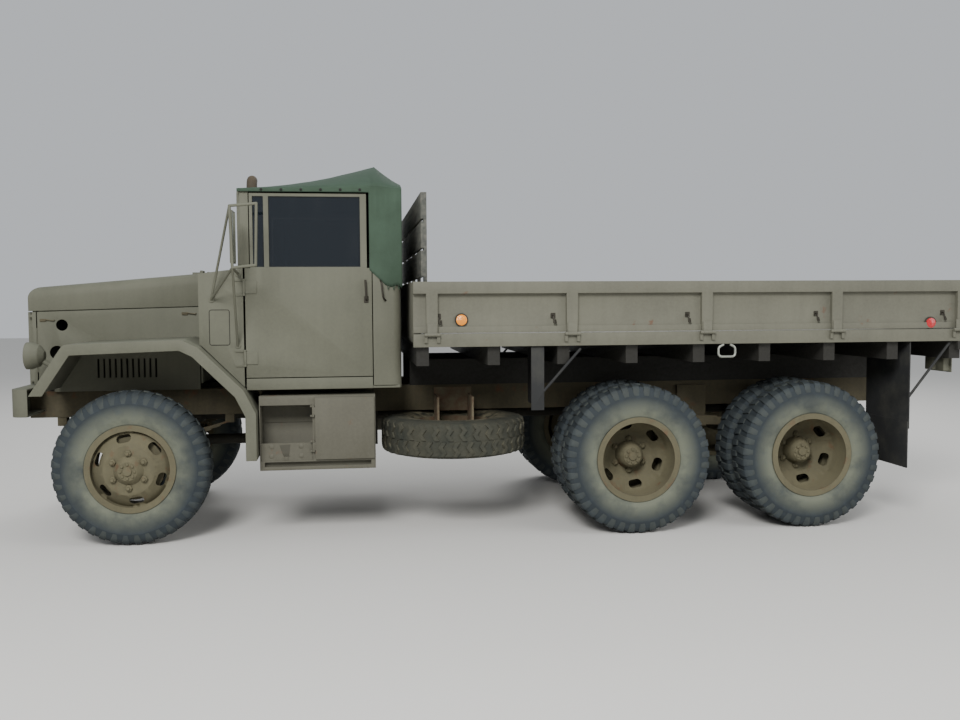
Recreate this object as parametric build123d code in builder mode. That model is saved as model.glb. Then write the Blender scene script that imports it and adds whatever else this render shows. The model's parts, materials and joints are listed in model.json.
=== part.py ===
from build123d import *
import os

# Military cargo truck, six wheels driven, drop-side bed, canvas cab top.
# Millimetres.  +X is forward, +Y is the driver's left, +Z is up, the floor is z = 0.
# Lengthways places are given as distances behind the front axle.

os.makedirs("parts", exist_ok=True)

# Chassis: lengths behind the front axle, widths from the middle, heights above the floor
WHEELBASE = 3912            # front axle to the middle of the rear pair
REAR_AXLE_SPACING = 1219
FRONT_REACH = 775           # bumper face ahead of the front axle
REAR_OVERHANG = 1078        # end of the bed behind the last axle
FRAME_HALF = 430            # outer face of a frame rail's web
FRAME_BOTTOM = 785
FRAME_TOP = 965
FRAME_FLANGE = 80
FRAME_WEB = 10

# Wheels and tyres
TYRE_RADIUS = 502
TYRE_WIDTH = 250
BEAD_RADIUS = 256           # outside of the rim's barrel
RIM_SHEET = 9
RIM_HALF = 105              # inner face of a rim flange from the tyre's middle
RIM_FLANGE_RADIUS = 284
WHEEL_DISH = 145            # middle of the disc from the tyre's middle
DISC_THICK = 10
SEAT_GAP = 0.3              # what rests on or turns in its seat
RUNNING_GAP = 6             # what moves past another piece
FRONT_WHEEL_Y = 862
REAR_MOUNT_Y = 890          # where the two rear discs meet
KINGPIN_Y = 690
SPINDLE_RADIUS = 38

# Cab and front end
CAB_HALF = 985
CAB_SHEET = 12
CAB_REAR = 1740
FLOOR_BOTTOM = 998
FLOOR_THICK = 20
SILL_TOP = 1072
COWL_FRONT = 450            # front of the cab's full width
FIREWALL = 380
DOOR_FRONT = 735
DOOR_REAR = 1550
DOOR_THICK = 45
BELT = 1783                 # top of the door's lower half
WINDOW_TOP = 2262
HOOD_HALF = 470
HOOD_SHEET = 8
HOOD_REAR = FIREWALL - RUNNING_GAP
FENDER_HALF = 1120
FENDER_SHEET = 8
FENDER_LIP = 67

# Windshield, steering wheel and door hinges
SHIELD_THICK = 34
SHIELD_HALF = 945
SHIELD_BAR = 48
SHIELD_TOP = 2279
POST_FRONT = 717
WINDOW_FRONT = 775          # the doors' window frames start behind the windshield's posts
GLASS_THICK = 6
SILL_WIDTH = 45
COLUMN_RADIUS = 24
COLUMN_LENGTH = 690
HUB_HALF = 8
DOOR_HINGE_RADIUS = 9
DOOR_HINGE_Y = CAB_HALF + DOOR_HINGE_RADIUS
DOOR_HINGES = (1205, 1660)
LEAF_HALF = 40
LUG_THICK = 14

# Bed
BED_GAP = 64                # between the cab and the bed
DECK_TOP = 1330
DECK_THICK = 30
STRIP_TOP = DECK_TOP - 3      # the deck's sunk strip under the front wall and the rack
STRIP_REAR = 1908
EDGE_BOTTOM = 1272
EDGE_TOP = 1355
SIDE_TOP = 1688
TOP_RAIL_HEIGHT = 76
SIDE_SHEET = 20
POST_WIDTH = 74
CROSSBAR_BOTTOM = 1150
TAILGATE_THICK = 44

# Places that follow from the sizes above
BED_FRONT = CAB_REAR + BED_GAP
REAR_AXLES = (WHEELBASE - REAR_AXLE_SPACING / 2, WHEELBASE + REAR_AXLE_SPACING / 2)
BED_REAR = REAR_AXLES[1] + REAR_OVERHANG
REAR_REACH = BED_REAR + RUNNING_GAP + TAILGATE_THICK
FRONT_AXLE_X = (REAR_REACH - FRONT_REACH) / 2
AXLE_Z = TYRE_RADIUS
STEER_CENTRE = Vector(FRONT_AXLE_X - 1010, 430, 1675)
STEER_AXIS = Vector(-0.5, 0, 0.866).normalized()


def behind(distance):
    """X of a place given as its distance behind the front axle."""
    return FRONT_AXLE_X - distance


def side_plane(y):
    """Plane seen from the side at y; a positive extrude goes towards -Y."""
    return Plane.XZ.offset(-y)


def cross_plane(distance):
    """Plane across the truck; a positive extrude goes forward."""
    return Plane.YZ.offset(behind(distance))


def side_view(points):
    """Points (distance behind the front axle, height) as the side plane's own."""
    return [(behind(distance), height) for distance, height in points]


def wheel_axis(distance):
    """Line along Y through an axle."""
    return Axis((behind(distance), 0, AXLE_Z), (0, 1, 0))


def round_bar(start, end, radius, mode=Mode.ADD):
    """Straight round bar between two points, inside a part being built."""
    run = Vector(*end) - Vector(*start)
    with BuildSketch(Plane(origin=start, z_dir=run)) as disc:
        Circle(radius)
    extrude(disc.sketch, amount=run.length, mode=mode)


def block(front, rear, inner, outer, bottom, top, mode=Mode.ADD):
    """Box between two distances, two widths and two heights, inside a part being built."""
    with BuildSketch(Plane.XY.offset(bottom)) as base:
        with Locations((behind((front + rear) / 2), (inner + outer) / 2)):
            Rectangle(rear - front, abs(outer - inner))
    extrude(base.sketch, amount=top - bottom, mode=mode)


def write(piece, name):
    """Label one piece and write it."""
    piece.part.label = name
    export_step(piece.part, f"parts/{name}.step")


def write_pair(left, name):
    """Write a left-hand piece and its mirror image."""
    with BuildPart() as right:
        mirror(left.part, about=Plane.XZ)
    write(left, f"{name}_left")
    write(right, f"{name}_right")


# Frame rails: channels that open inwards
RAIL_FRONT = -FRONT_REACH + 12
RAIL_REAR = BED_REAR - 120
with BuildPart() as frame_rail:
    with BuildSketch(cross_plane(RAIL_REAR)):
        with BuildLine():
            Polyline(
                (FRAME_HALF - FRAME_FLANGE, FRAME_BOTTOM),
                (FRAME_HALF, FRAME_BOTTOM),
                (FRAME_HALF, FRAME_TOP),
                (FRAME_HALF - FRAME_FLANGE, FRAME_TOP),
                (FRAME_HALF - FRAME_FLANGE, FRAME_TOP - FRAME_WEB),
                (FRAME_HALF - FRAME_WEB, FRAME_TOP - FRAME_WEB),
                (FRAME_HALF - FRAME_WEB, FRAME_BOTTOM + FRAME_WEB),
                (FRAME_HALF - FRAME_FLANGE, FRAME_BOTTOM + FRAME_WEB),
                close=True,
            )
        make_face()
    extrude(amount=RAIL_REAR - RAIL_FRONT)
write_pair(frame_rail, "frame_rail")

# Crossmembers: channels between the rails, and the rear pair's trunnion under them
TRUNNION_Z = 590
TRUNNION_RADIUS = 50
BRACKET_THICK = 30
CROSSMEMBERS = (            # distance behind the front axle, depth along the truck
    (-590, 70),
    (1900, 80),
    (2780, 80),
    (WHEELBASE - 160, 80),
    (WHEELBASE + 160, 80),
    (RAIL_REAR - 60, 90),
)
PINTLE_EYE = 28             # radius of the hook's round opening
PINTLE_WIDTH = 52
inside_half = FRAME_HALF - FRAME_WEB
with BuildPart() as crossmembers:
    for distance, depth in CROSSMEMBERS:
        low, high = FRAME_BOTTOM + FRAME_WEB, FRAME_TOP - FRAME_WEB
        block(distance - depth / 2, distance + depth / 2, -inside_half, inside_half, low, high)
        block(distance - depth / 2 + 10, distance + depth / 2, -inside_half, inside_half,
              low + 10, high - 10, mode=Mode.SUBTRACT)
    for side in (1, -1):
        block(WHEELBASE - 110, WHEELBASE + 110, side * FRAME_HALF,
              side * (FRAME_HALF + BRACKET_THICK), TRUNNION_Z - 60, FRAME_TOP - 30)
    round_bar((behind(WHEELBASE), -560, TRUNNION_Z), (behind(WHEELBASE), 560, TRUNNION_Z),
              TRUNNION_RADIUS)
    hook_z = (FRAME_BOTTOM + FRAME_TOP) / 2
    round_bar((behind(RAIL_REAR - 100), 0, hook_z), (behind(RAIL_REAR + 80), 0, hook_z), 30)
    with BuildSketch(side_plane(PINTLE_WIDTH / 2)) as pintle:
        with Locations((behind(RAIL_REAR + 80 + PINTLE_EYE), hook_z)):
            Circle(PINTLE_EYE + 26)
            Circle(PINTLE_EYE, mode=Mode.SUBTRACT)
            with Locations((0, PINTLE_EYE)):
                Rectangle(8, 60, mode=Mode.SUBTRACT)
    extrude(pintle.sketch, amount=PINTLE_WIDTH)
write(crossmembers, "crossmembers")

# Front bumper: a channel whose ends turn back
BUMPER_HALF = 800
BUMPER_BOTTOM = 830
BUMPER_TOP = 1012
BUMPER_DEPTH = 110
BUMPER_SHEET = 11
BUMPER_BEND = 70
with BuildPart() as front_bumper:
    with BuildSketch(Plane.XY.offset(BUMPER_BOTTOM)):
        with BuildLine():
            FilletPolyline(
                (behind(BUMPER_DEPTH - FRONT_REACH), -BUMPER_HALF),
                (behind(-FRONT_REACH), -BUMPER_HALF),
                (behind(-FRONT_REACH), BUMPER_HALF),
                (behind(BUMPER_DEPTH - FRONT_REACH), BUMPER_HALF),
                radius=BUMPER_BEND,
            )
            Line((behind(BUMPER_DEPTH - FRONT_REACH), BUMPER_HALF),
                 (behind(BUMPER_DEPTH - FRONT_REACH), -BUMPER_HALF))
        make_face()
    extrude(amount=BUMPER_TOP - BUMPER_BOTTOM)
    back = front_bumper.faces().sort_by(Axis.X)[0]
    offset(amount=-BUMPER_SHEET, openings=back)
    for side in (1, -1):
        block(RAIL_FRONT, BUMPER_DEPTH - FRONT_REACH + 1, side * (FRAME_HALF - FRAME_FLANGE),
              side * FRAME_HALF, BUMPER_BOTTOM - 1, FRAME_TOP, mode=Mode.SUBTRACT)
write(front_bumper, "front_bumper")

# Radiator and its grille of upright bars, between the headlamps
GRILLE_FRONT = -755
GRILLE_DEPTH = 60
GRILLE_BOTTOM = BUMPER_TOP + 6
GRILLE_TOP = 1508
GRILLE_BARS = 12
BAR_WIDTH = 12
grille_rear = GRILLE_FRONT + GRILLE_DEPTH
with BuildPart() as grille:
    block(GRILLE_FRONT + 35, grille_rear, -HOOD_HALF, HOOD_HALF, GRILLE_BOTTOM, GRILLE_TOP)
    block(GRILLE_FRONT, grille_rear + 1, -HOOD_HALF + 60, HOOD_HALF - 60,
          GRILLE_BOTTOM + 40, GRILLE_TOP - 40, mode=Mode.SUBTRACT)
    bar_step = 2 * HOOD_HALF / GRILLE_BARS
    for number in range(GRILLE_BARS):
        bar_y = -HOOD_HALF + bar_step * (number + 0.5)
        block(GRILLE_FRONT, GRILLE_FRONT + 36, bar_y - BAR_WIDTH / 2, bar_y + BAR_WIDTH / 2,
              GRILLE_BOTTOM, GRILLE_TOP)
    for height in (GRILLE_BOTTOM + 20, GRILLE_TOP - 35):
        block(GRILLE_FRONT + 12, GRILLE_FRONT + 36, -HOOD_HALF, HOOD_HALF, height, height + 15)
    lip_half = HOOD_HALF - HOOD_SHEET - RUNNING_GAP
    block(GRILLE_FRONT + 35, GRILLE_FRONT + 41, -lip_half, lip_half, GRILLE_TOP - 10, GRILLE_TOP + 22)
    for side in (1, -1):
        block(GRILLE_FRONT + 35, grille_rear, side * (lip_half - 4), side * lip_half,
              GRILLE_TOP - 10, GRILLE_TOP + 22)
write(grille, "grille")

RADIATOR_HALF = 380
with BuildPart() as radiator:
    core_front, core_rear = grille_rear + 45, grille_rear + 125
    block(core_front, core_rear, -RADIATOR_HALF, RADIATOR_HALF, FRAME_TOP + 15, GRILLE_TOP)
    block(core_front, core_rear, -RADIATOR_HALF + 70, RADIATOR_HALF - 70,
          GRILLE_TOP, GRILLE_TOP + 50)
    for side in (1, -1):
        block(core_front, core_rear, side * (FRAME_HALF - 60), side * FRAME_HALF,
              FRAME_TOP, FRAME_TOP + 40)
        block(grille_rear, core_front, side * (RADIATOR_HALF - 60), side * RADIATOR_HALF,
              1200, 1300)
write(radiator, "radiator")

# Engine with its sump and gearbox, one plain block on two mounts
ENGINE_FRONT = -430
ENGINE_REAR = FIREWALL - 40
GEARBOX_REAR = 1000
with BuildPart() as engine:
    with BuildSketch(cross_plane(ENGINE_REAR)):
        with BuildLine():
            Polyline((-120, 700), (120, 700), (170, 900), (270, 1000), (250, 1400),
                     (-250, 1400), (-270, 1000), (-170, 900), close=True)
        make_face()
    extrude(amount=ENGINE_REAR - ENGINE_FRONT)
    block(ENGINE_REAR, GEARBOX_REAR, -150, 150, 720, 985)
    block(-150, -50, -FRAME_HALF + FRAME_WEB, FRAME_HALF - FRAME_WEB, 850, 900)
    block(GEARBOX_REAR - 120, GEARBOX_REAR - 40, -FRAME_HALF + FRAME_WEB,
          FRAME_HALF - FRAME_WEB, 850, 890)
write(engine, "engine")

# Transfer case and the prop shafts to the three axles
SHAFT_RADIUS = 38
SHAFT_Y = -100
TRANSFER_FRONT = 1320
TRANSFER_REAR = 1600
DIFF_RADIUS = 150
FRONT_SHAFT_Z = 540
REAR_SHAFT_Z = 700
with BuildPart() as driveline:
    block(TRANSFER_FRONT, TRANSFER_REAR, -210, 110, 500, 900)
    block(TRANSFER_FRONT + 60, TRANSFER_REAR - 60, -FRAME_HALF + FRAME_WEB,
          FRAME_HALF - FRAME_WEB, 830, 880)
    for start, end in (
        ((GEARBOX_REAR, 0, 850), (TRANSFER_FRONT, 0, 850)),
        ((TRANSFER_FRONT, SHAFT_Y, FRONT_SHAFT_Z), (DIFF_RADIUS + 10, SHAFT_Y, FRONT_SHAFT_Z)),
        ((TRANSFER_REAR, SHAFT_Y, REAR_SHAFT_Z), (REAR_AXLES[0] - 120, SHAFT_Y, REAR_SHAFT_Z)),
        ((REAR_AXLES[0] + 120, SHAFT_Y, REAR_SHAFT_Z), (REAR_AXLES[1] - 120, SHAFT_Y, REAR_SHAFT_Z)),
    ):
        round_bar((behind(start[0]), *start[1:]), (behind(end[0]), *end[1:]), SHAFT_RADIUS)
write(driveline, "driveline")

# Front axle: tube, differential and a ball with upright pins at each end
AXLE_RADIUS = 50
BALL_RADIUS = 95
PIN_RADIUS = 18
PIN_HALF = 118
with BuildPart() as front_axle:
    round_bar((behind(0), -KINGPIN_Y, AXLE_Z), (behind(0), KINGPIN_Y, AXLE_Z), AXLE_RADIUS)
    with Locations((behind(0), SHAFT_Y, AXLE_Z)):
        Sphere(DIFF_RADIUS)
    for side in (1, -1):
        with Locations((behind(0), side * KINGPIN_Y, AXLE_Z)):
            Sphere(BALL_RADIUS)
            Cylinder(PIN_RADIUS, 2 * PIN_HALF)
    round_bar((behind(DIFF_RADIUS - 30), SHAFT_Y, FRONT_SHAFT_Z),
              (behind(DIFF_RADIUS + 10), SHAFT_Y, FRONT_SHAFT_Z), SHAFT_RADIUS + 12)
write(front_axle, "front_axle")

# Rear axles: tube, upright pinion housing and spindles
REAR_SPINDLE_END = 985
REAR_TUBE_END = 690
with BuildPart() as rear_axles:
    for axle in REAR_AXLES:
        round_bar((behind(axle), -REAR_TUBE_END, AXLE_Z), (behind(axle), REAR_TUBE_END, AXLE_Z),
                  AXLE_RADIUS + 8)
        round_bar((behind(axle), -REAR_SPINDLE_END, AXLE_Z), (behind(axle), REAR_SPINDLE_END, AXLE_Z),
                  SPINDLE_RADIUS)
        with Locations((behind(axle), SHAFT_Y, AXLE_Z)):
            Sphere(DIFF_RADIUS + 10)
        block(axle - 120, axle + 120, SHAFT_Y - 75, SHAFT_Y + 75, AXLE_Z, REAR_SHAFT_Z + 50)
write(rear_axles, "rear_axles")

# Leaf springs: the front pair hangs from the rails, the rear pair rocks on the trunnion
LEAF_THICK = 9
LEAF_WIDTH = 70
FRONT_SPRING_Y = FRAME_HALF - FRAME_FLANGE / 2
FRONT_SPRING_HALF = 560
FRONT_SPRING_CAMBER = 95
REAR_SPRING_Y = 520
REAR_SPRING_HALF = REAR_AXLE_SPACING / 2 - 25
REAR_SPRING_CAMBER = 60
LEAVES = 7


def leaf_pack(centre, middle_y, mid_height, half, camber, upward):
    """Stack of ever shorter leaves; upward is 1 where the ends turn up, -1 where they hang."""
    bend = (half ** 2 + camber ** 2) / (2 * camber)
    for leaf in range(LEAVES):
        outer = bend + LEAF_THICK * (leaf + 1)
        reach = half * (1 - leaf / (LEAVES + 1.5))
        with BuildSketch(side_plane(middle_y + LEAF_WIDTH / 2)) as strip:
            with Locations((behind(centre), mid_height + upward * bend)):
                Circle(outer)
                Circle(outer - LEAF_THICK, mode=Mode.SUBTRACT)
            with Locations((behind(centre), mid_height)):
                Rectangle(2 * reach, 4 * camber, mode=Mode.INTERSECT)
        extrude(strip.sketch, amount=LEAF_WIDTH)


with BuildPart() as leaf_springs:
    for side in (1, -1):
        spring_top = FRAME_BOTTOM - 45 - FRONT_SPRING_CAMBER
        leaf_pack(0, side * FRONT_SPRING_Y, spring_top, FRONT_SPRING_HALF, FRONT_SPRING_CAMBER, 1)
        for end in (-FRONT_SPRING_HALF, FRONT_SPRING_HALF):
            block(end - 30, end + 30, side * FRONT_SPRING_Y - LEAF_WIDTH / 2,
                  side * FRONT_SPRING_Y + LEAF_WIDTH / 2, FRAME_BOTTOM - 60, FRAME_BOTTOM)
        block(-60, 60, side * FRONT_SPRING_Y - LEAF_WIDTH / 2,
              side * FRONT_SPRING_Y + LEAF_WIDTH / 2, AXLE_Z + AXLE_RADIUS, spring_top)
        spring_seat = TRUNNION_Z + TRUNNION_RADIUS
        block(WHEELBASE - 80, WHEELBASE + 80, side * REAR_SPRING_Y - LEAF_WIDTH / 2,
              side * REAR_SPRING_Y + LEAF_WIDTH / 2, spring_seat, spring_seat + 20)
        leaf_pack(WHEELBASE, side * REAR_SPRING_Y, spring_seat + 10, REAR_SPRING_HALF,
                  REAR_SPRING_CAMBER, -1)
write(leaf_springs, "leaf_springs")

# Wheels: pressed steel, the disc joined to the barrel by a cone
BOLT_FACE_RADIUS = 160
DISC_EDGE_RADIUS = 215
HUB_RADIUS = 78
DRUM_RADIUS = 205


def revolve_ring(distance, points):
    """Ring about an axle from points (y, radius), inside a part being built."""
    with BuildSketch(cross_plane(distance)) as half_section:
        with BuildLine():
            Polyline([(y, AXLE_Z + radius) for y, radius in points], close=True)
        make_face()
    revolve(half_section.sketch, axis=wheel_axis(distance))


def rim(distance, middle, outward):
    """One rim and disc; outward is 1 where the disc bulges away from the truck."""
    barrel = BEAD_RADIUS - SEAT_GAP
    bulge = middle + outward * WHEEL_DISH
    half_disc = outward * DISC_THICK / 2
    for edge in (-1, 1):
        revolve_ring(distance, (
            (middle + edge * (RIM_HALF - 12), barrel - RIM_SHEET),
            (middle + edge * (RIM_HALF + 8), barrel - RIM_SHEET),
            (middle + edge * (RIM_HALF + 8), RIM_FLANGE_RADIUS),
            (middle + edge * RIM_HALF, RIM_FLANGE_RADIUS),
            (middle + edge * RIM_HALF, barrel),
            (middle + edge * (RIM_HALF - 12), barrel),
        ))
    revolve_ring(distance, (
        (middle - RIM_HALF, barrel - RIM_SHEET),
        (middle + RIM_HALF, barrel - RIM_SHEET),
        (middle + RIM_HALF, barrel),
        (middle - RIM_HALF, barrel),
    ))
    revolve_ring(distance, (
        (bulge - half_disc, SPINDLE_RADIUS + 5),
        (bulge + half_disc, SPINDLE_RADIUS + 5),
        (bulge + half_disc, BOLT_FACE_RADIUS),
        (bulge - outward * 45, DISC_EDGE_RADIUS),
        (middle + outward * 62, barrel - RIM_SHEET / 2),
        (middle + outward * 50, barrel - RIM_SHEET / 2),
        (bulge - outward * 55, DISC_EDGE_RADIUS - 6),
        (bulge - half_disc, BOLT_FACE_RADIUS - 4),
    ))


def tyre(distance, middle):
    """One tyre about an axle."""
    half = TYRE_WIDTH / 2
    with BuildSketch(cross_plane(distance)) as section:
        with BuildLine():
            bead, bulge, shoulder = (88, BEAD_RADIUS), (half, 380), (0.8 * half, TYRE_RADIUS - 14)
            left = ThreePointArc(*[(middle - y, AXLE_Z + radius) for y, radius in (bead, bulge, shoulder)])
            right = ThreePointArc(*[(middle + y, AXLE_Z + radius) for y, radius in (bead, bulge, shoulder)])
            ThreePointArc(left @ 1, (middle, AXLE_Z + TYRE_RADIUS), right @ 1)
            Line(left @ 0, right @ 0)
        make_face()
    revolve(section.sketch, axis=wheel_axis(distance))


# Hand holes round the cone of a wheel
HAND_HOLES = 6
HAND_HOLE_RADIUS = 24
HAND_HOLE_CIRCLE = 202


def hand_holes(distance, inner, outer):
    """Cut the ring of hand holes between two widths."""
    with BuildSketch(side_plane(outer)) as holes:
        with Locations((behind(distance), AXLE_Z)):
            with PolarLocations(HAND_HOLE_CIRCLE, HAND_HOLES, start_angle=20):
                SlotCenterToCenter(44, 2 * HAND_HOLE_RADIUS, rotation=90)
    extrude(holes.sketch, amount=outer - inner, mode=Mode.SUBTRACT)


FRONT_HUB_END = 1052
with BuildPart() as front_wheel:
    rim(0, FRONT_WHEEL_Y, 1)
    revolve_ring(0, (
        (FRONT_WHEEL_Y + 20, SPINDLE_RADIUS + SEAT_GAP),
        (FRONT_WHEEL_Y + 20, HUB_RADIUS + 20),
        (FRONT_WHEEL_Y + WHEEL_DISH, HUB_RADIUS + 20),
        (FRONT_HUB_END - 20, HUB_RADIUS),
        (FRONT_HUB_END, HUB_RADIUS - 18),
        (FRONT_HUB_END, 0),
        (FRONT_HUB_END - 25, 0),
        (FRONT_HUB_END - 25, SPINDLE_RADIUS + SEAT_GAP),
    ))
    hand_holes(0, FRONT_WHEEL_Y + 62, FRONT_HUB_END)
    revolve_ring(0, (
        (FRONT_WHEEL_Y + 5, HUB_RADIUS),
        (FRONT_WHEEL_Y + 5, DRUM_RADIUS),
        (FRONT_WHEEL_Y + 60, DRUM_RADIUS),
        (FRONT_WHEEL_Y + 60, HUB_RADIUS),
    ))
write_pair(front_wheel, "front_wheel")
with BuildPart() as front_tyre:
    tyre(0, FRONT_WHEEL_Y)
write_pair(front_tyre, "front_tyre")

REAR_HUB_END = 1000
DUAL_HALF = WHEEL_DISH + DISC_THICK / 2
for axle, place in zip(REAR_AXLES, ("middle", "rear")):
    with BuildPart() as rear_wheel:
        rim(axle, REAR_MOUNT_Y - DUAL_HALF, 1)
        rim(axle, REAR_MOUNT_Y + DUAL_HALF, -1)
        revolve_ring(axle, (
            (REAR_TUBE_END + 25, SPINDLE_RADIUS + SEAT_GAP),
            (REAR_TUBE_END + 25, DRUM_RADIUS),
            (REAR_MOUNT_Y - 40, DRUM_RADIUS),
            (REAR_MOUNT_Y - 10, BOLT_FACE_RADIUS - 20),
            (REAR_MOUNT_Y, HUB_RADIUS + 20),
            (REAR_HUB_END - 20, HUB_RADIUS),
            (REAR_HUB_END, HUB_RADIUS - 18),
            (REAR_HUB_END, 0),
            (REAR_HUB_END - 12, 0),
            (REAR_HUB_END - 12, SPINDLE_RADIUS + SEAT_GAP),
        ))
        hand_holes(axle, REAR_MOUNT_Y - 10, REAR_MOUNT_Y + 80)
    write_pair(rear_wheel, f"{place}_wheels")
    with BuildPart() as rear_tyres:
        tyre(axle, REAR_MOUNT_Y - DUAL_HALF)
        tyre(axle, REAR_MOUNT_Y + DUAL_HALF)
    write_pair(rear_tyres, f"{place}_tyres")

# Steering knuckles: a cup round the axle's ball, a spindle and an arm to the tie rod
CUP_INNER = BALL_RADIUS + RUNNING_GAP
CUP_OUTER = CUP_INNER + 14
ARM_REACH = 210
ARM_Z = AXLE_Z - 60
ARM_THICK = 28
ROD_RADIUS = 17
STUD_RADIUS = 9
with BuildPart() as knuckle:
    with Locations((behind(0), KINGPIN_Y, AXLE_Z)):
        Sphere(CUP_OUTER)
    round_bar((behind(0), KINGPIN_Y + CUP_INNER, AXLE_Z), (behind(0), FRONT_HUB_END - 30, AXLE_Z),
              SPINDLE_RADIUS)
    round_bar((behind(0), KINGPIN_Y + CUP_INNER - 8, AXLE_Z),
              (behind(0), FRONT_WHEEL_Y - 20, AXLE_Z), 80)
    round_bar((behind(0), FRONT_WHEEL_Y - 35, AXLE_Z), (behind(0), FRONT_WHEEL_Y - 25, AXLE_Z),
              DRUM_RADIUS - 20)
    with BuildSketch(Plane.XY.offset(ARM_Z)) as arm:
        with BuildLine():
            Polyline((behind(60), KINGPIN_Y + 60), (behind(80), KINGPIN_Y - 22),
                     (behind(ARM_REACH + 26), KINGPIN_Y - 22),
                     (behind(ARM_REACH + 26), KINGPIN_Y + 26),
                     (behind(110), KINGPIN_Y + 50), close=True)
        make_face()
    extrude(arm.sketch, amount=ARM_THICK)
    with Locations((behind(0), KINGPIN_Y, AXLE_Z)):
        Sphere(CUP_INNER, mode=Mode.SUBTRACT)
        Cylinder(PIN_RADIUS + SEAT_GAP, 3 * PIN_HALF, mode=Mode.SUBTRACT)
    block(-200, 200, KINGPIN_Y - 200, KINGPIN_Y - 25, AXLE_Z - 150, AXLE_Z + 150, mode=Mode.SUBTRACT)
    with Locations((behind(ARM_REACH), KINGPIN_Y, ARM_Z)):
        Cylinder(STUD_RADIUS + SEAT_GAP, 4 * ARM_THICK, mode=Mode.SUBTRACT)
write_pair(knuckle, "knuckle")

# Tie rod between the two arms, below them
ROD_Z = ARM_Z - RUNNING_GAP - ROD_RADIUS - 4
with BuildPart() as tie_rod:
    round_bar((behind(ARM_REACH), -KINGPIN_Y, ROD_Z), (behind(ARM_REACH), KINGPIN_Y, ROD_Z), ROD_RADIUS)
    for side in (1, -1):
        with Locations((behind(ARM_REACH), side * KINGPIN_Y, ROD_Z)):
            Sphere(ROD_RADIUS + 4)
        with Locations((behind(ARM_REACH), side * KINGPIN_Y, (ROD_Z + ARM_Z + ARM_THICK) / 2)):
            Cylinder(STUD_RADIUS, ARM_Z + ARM_THICK - ROD_Z)
write(tie_rod, "tie_rod")

# Fenders: a bent sheet with a deep outer lip
FENDER_PATH = (             # distance behind the front axle, height
    (-560, 992),
    (-349, 1309),
    (358, 1332),
    (461, 1281),
    (735, 1006),
    (808, 858),
    (808, 558),
)
FENDER_BEND = 45
with BuildPart() as fender:
    for near, far, depth in ((HOOD_HALF + SEAT_GAP, FENDER_HALF, FENDER_SHEET),
                             (FENDER_HALF - 12, FENDER_HALF, FENDER_LIP)):
        with BuildSketch(side_plane(far)):
            with BuildLine():
                FilletPolyline(*side_view(FENDER_PATH), radius=FENDER_BEND)
                offset(amount=depth, side=Side.LEFT)
            make_face()
        extrude(amount=far - near)
    block(FENDER_PATH[0][0] - 10, FENDER_PATH[0][0] + 120, HOOD_HALF, FENDER_HALF + 1,
          FENDER_PATH[0][1] - 120, FENDER_PATH[0][1] + 2, mode=Mode.SUBTRACT)
write_pair(fender, "fender")

# Engine side panels, with the missing plug holes
PANEL_TOP_FRONT = 1508
PANEL_TOP_REAR = 1535
PANEL_FRONT = -688
PANEL_SHEET = 10
PANEL_HOLES = (             # distance behind the front axle, height, radius
    (-529, 1418, 38),
    (-566, 1232, 46),
)
LOUVRES = 11
REST_FACE = HOOD_SHEET + RUNNING_GAP     # hood rest, inwards from the panel's face
with BuildPart() as engine_side:
    with BuildSketch(side_plane(HOOD_HALF)):
        with BuildLine():
            Polyline(side_view((
                (PANEL_FRONT, GRILLE_BOTTOM), (PANEL_FRONT, PANEL_TOP_FRONT),
                (HOOD_REAR, PANEL_TOP_REAR), (HOOD_REAR, FRAME_TOP), (-590, FRAME_TOP),
                (-590, GRILLE_BOTTOM))), close=True)
        make_face()
        for distance, height, radius in PANEL_HOLES:
            with Locations((behind(distance), height)):
                Circle(radius, mode=Mode.SUBTRACT)
        with Locations((behind(-110), 1120)):
            with GridLocations(38, 1, LOUVRES, 1):
                Rectangle(12, 130, mode=Mode.SUBTRACT)
    extrude(amount=PANEL_SHEET)
    block(grille_rear + SEAT_GAP, PANEL_FRONT + 12, RADIATOR_HALF + 20, HOOD_HALF - 1, 1100, 1400)
    block(-560, HOOD_REAR, FRAME_HALF - 40, HOOD_HALF - PANEL_SHEET, FRAME_TOP, FRAME_TOP + 8)
    for far, near, rise in ((PANEL_SHEET - 1, REST_FACE, -6), (REST_FACE, REST_FACE + 4, 22)):
        with BuildSketch(side_plane(HOOD_HALF - far)):
            with BuildLine():
                Polyline(side_view((
                    (PANEL_FRONT, PANEL_TOP_FRONT - 30), (PANEL_FRONT, PANEL_TOP_FRONT + rise),
                    (HOOD_REAR, PANEL_TOP_REAR + rise), (HOOD_REAR, PANEL_TOP_REAR - 30))), close=True)
            make_face()
        extrude(amount=near - far)
with BuildPart() as engine_sides:
    add(engine_side.part)
    mirror(engine_side.part, about=Plane.XZ)
write(engine_sides, "engine_side_panels")

# Hood: one pressed shell, hinged along the cowl
HOOD_FRONT = -743
HOOD_TOP_FRONT = 1671
HOOD_TOP_REAR = 1766
HOOD_EDGE = 75
with BuildPart() as hood:
    with BuildSketch(side_plane(HOOD_HALF)):
        with BuildLine():
            Polyline(side_view((
                (HOOD_REAR, PANEL_TOP_REAR + RUNNING_GAP), (HOOD_REAR, HOOD_TOP_REAR),
                (HOOD_FRONT, HOOD_TOP_FRONT),
                (HOOD_FRONT, PANEL_TOP_FRONT + RUNNING_GAP))), close=True)
        make_face()
    extrude(amount=2 * HOOD_HALF)
    upper_edges = hood.edges().filter_by(
        lambda edge: edge.center().Z > HOOD_TOP_FRONT - 1 and edge.center().X > behind(HOOD_REAR) + 50)
    fillet(upper_edges, radius=HOOD_EDGE)
    open_faces = [hood.faces().sort_by(Axis.Z)[0], hood.faces().sort_by(Axis.X)[0]]
    offset(amount=-HOOD_SHEET, openings=open_faces)
HINGE_RADIUS = 10
HINGE_PIN = 5
HOOD_HINGE_Z = HOOD_TOP_REAR + 14
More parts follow.
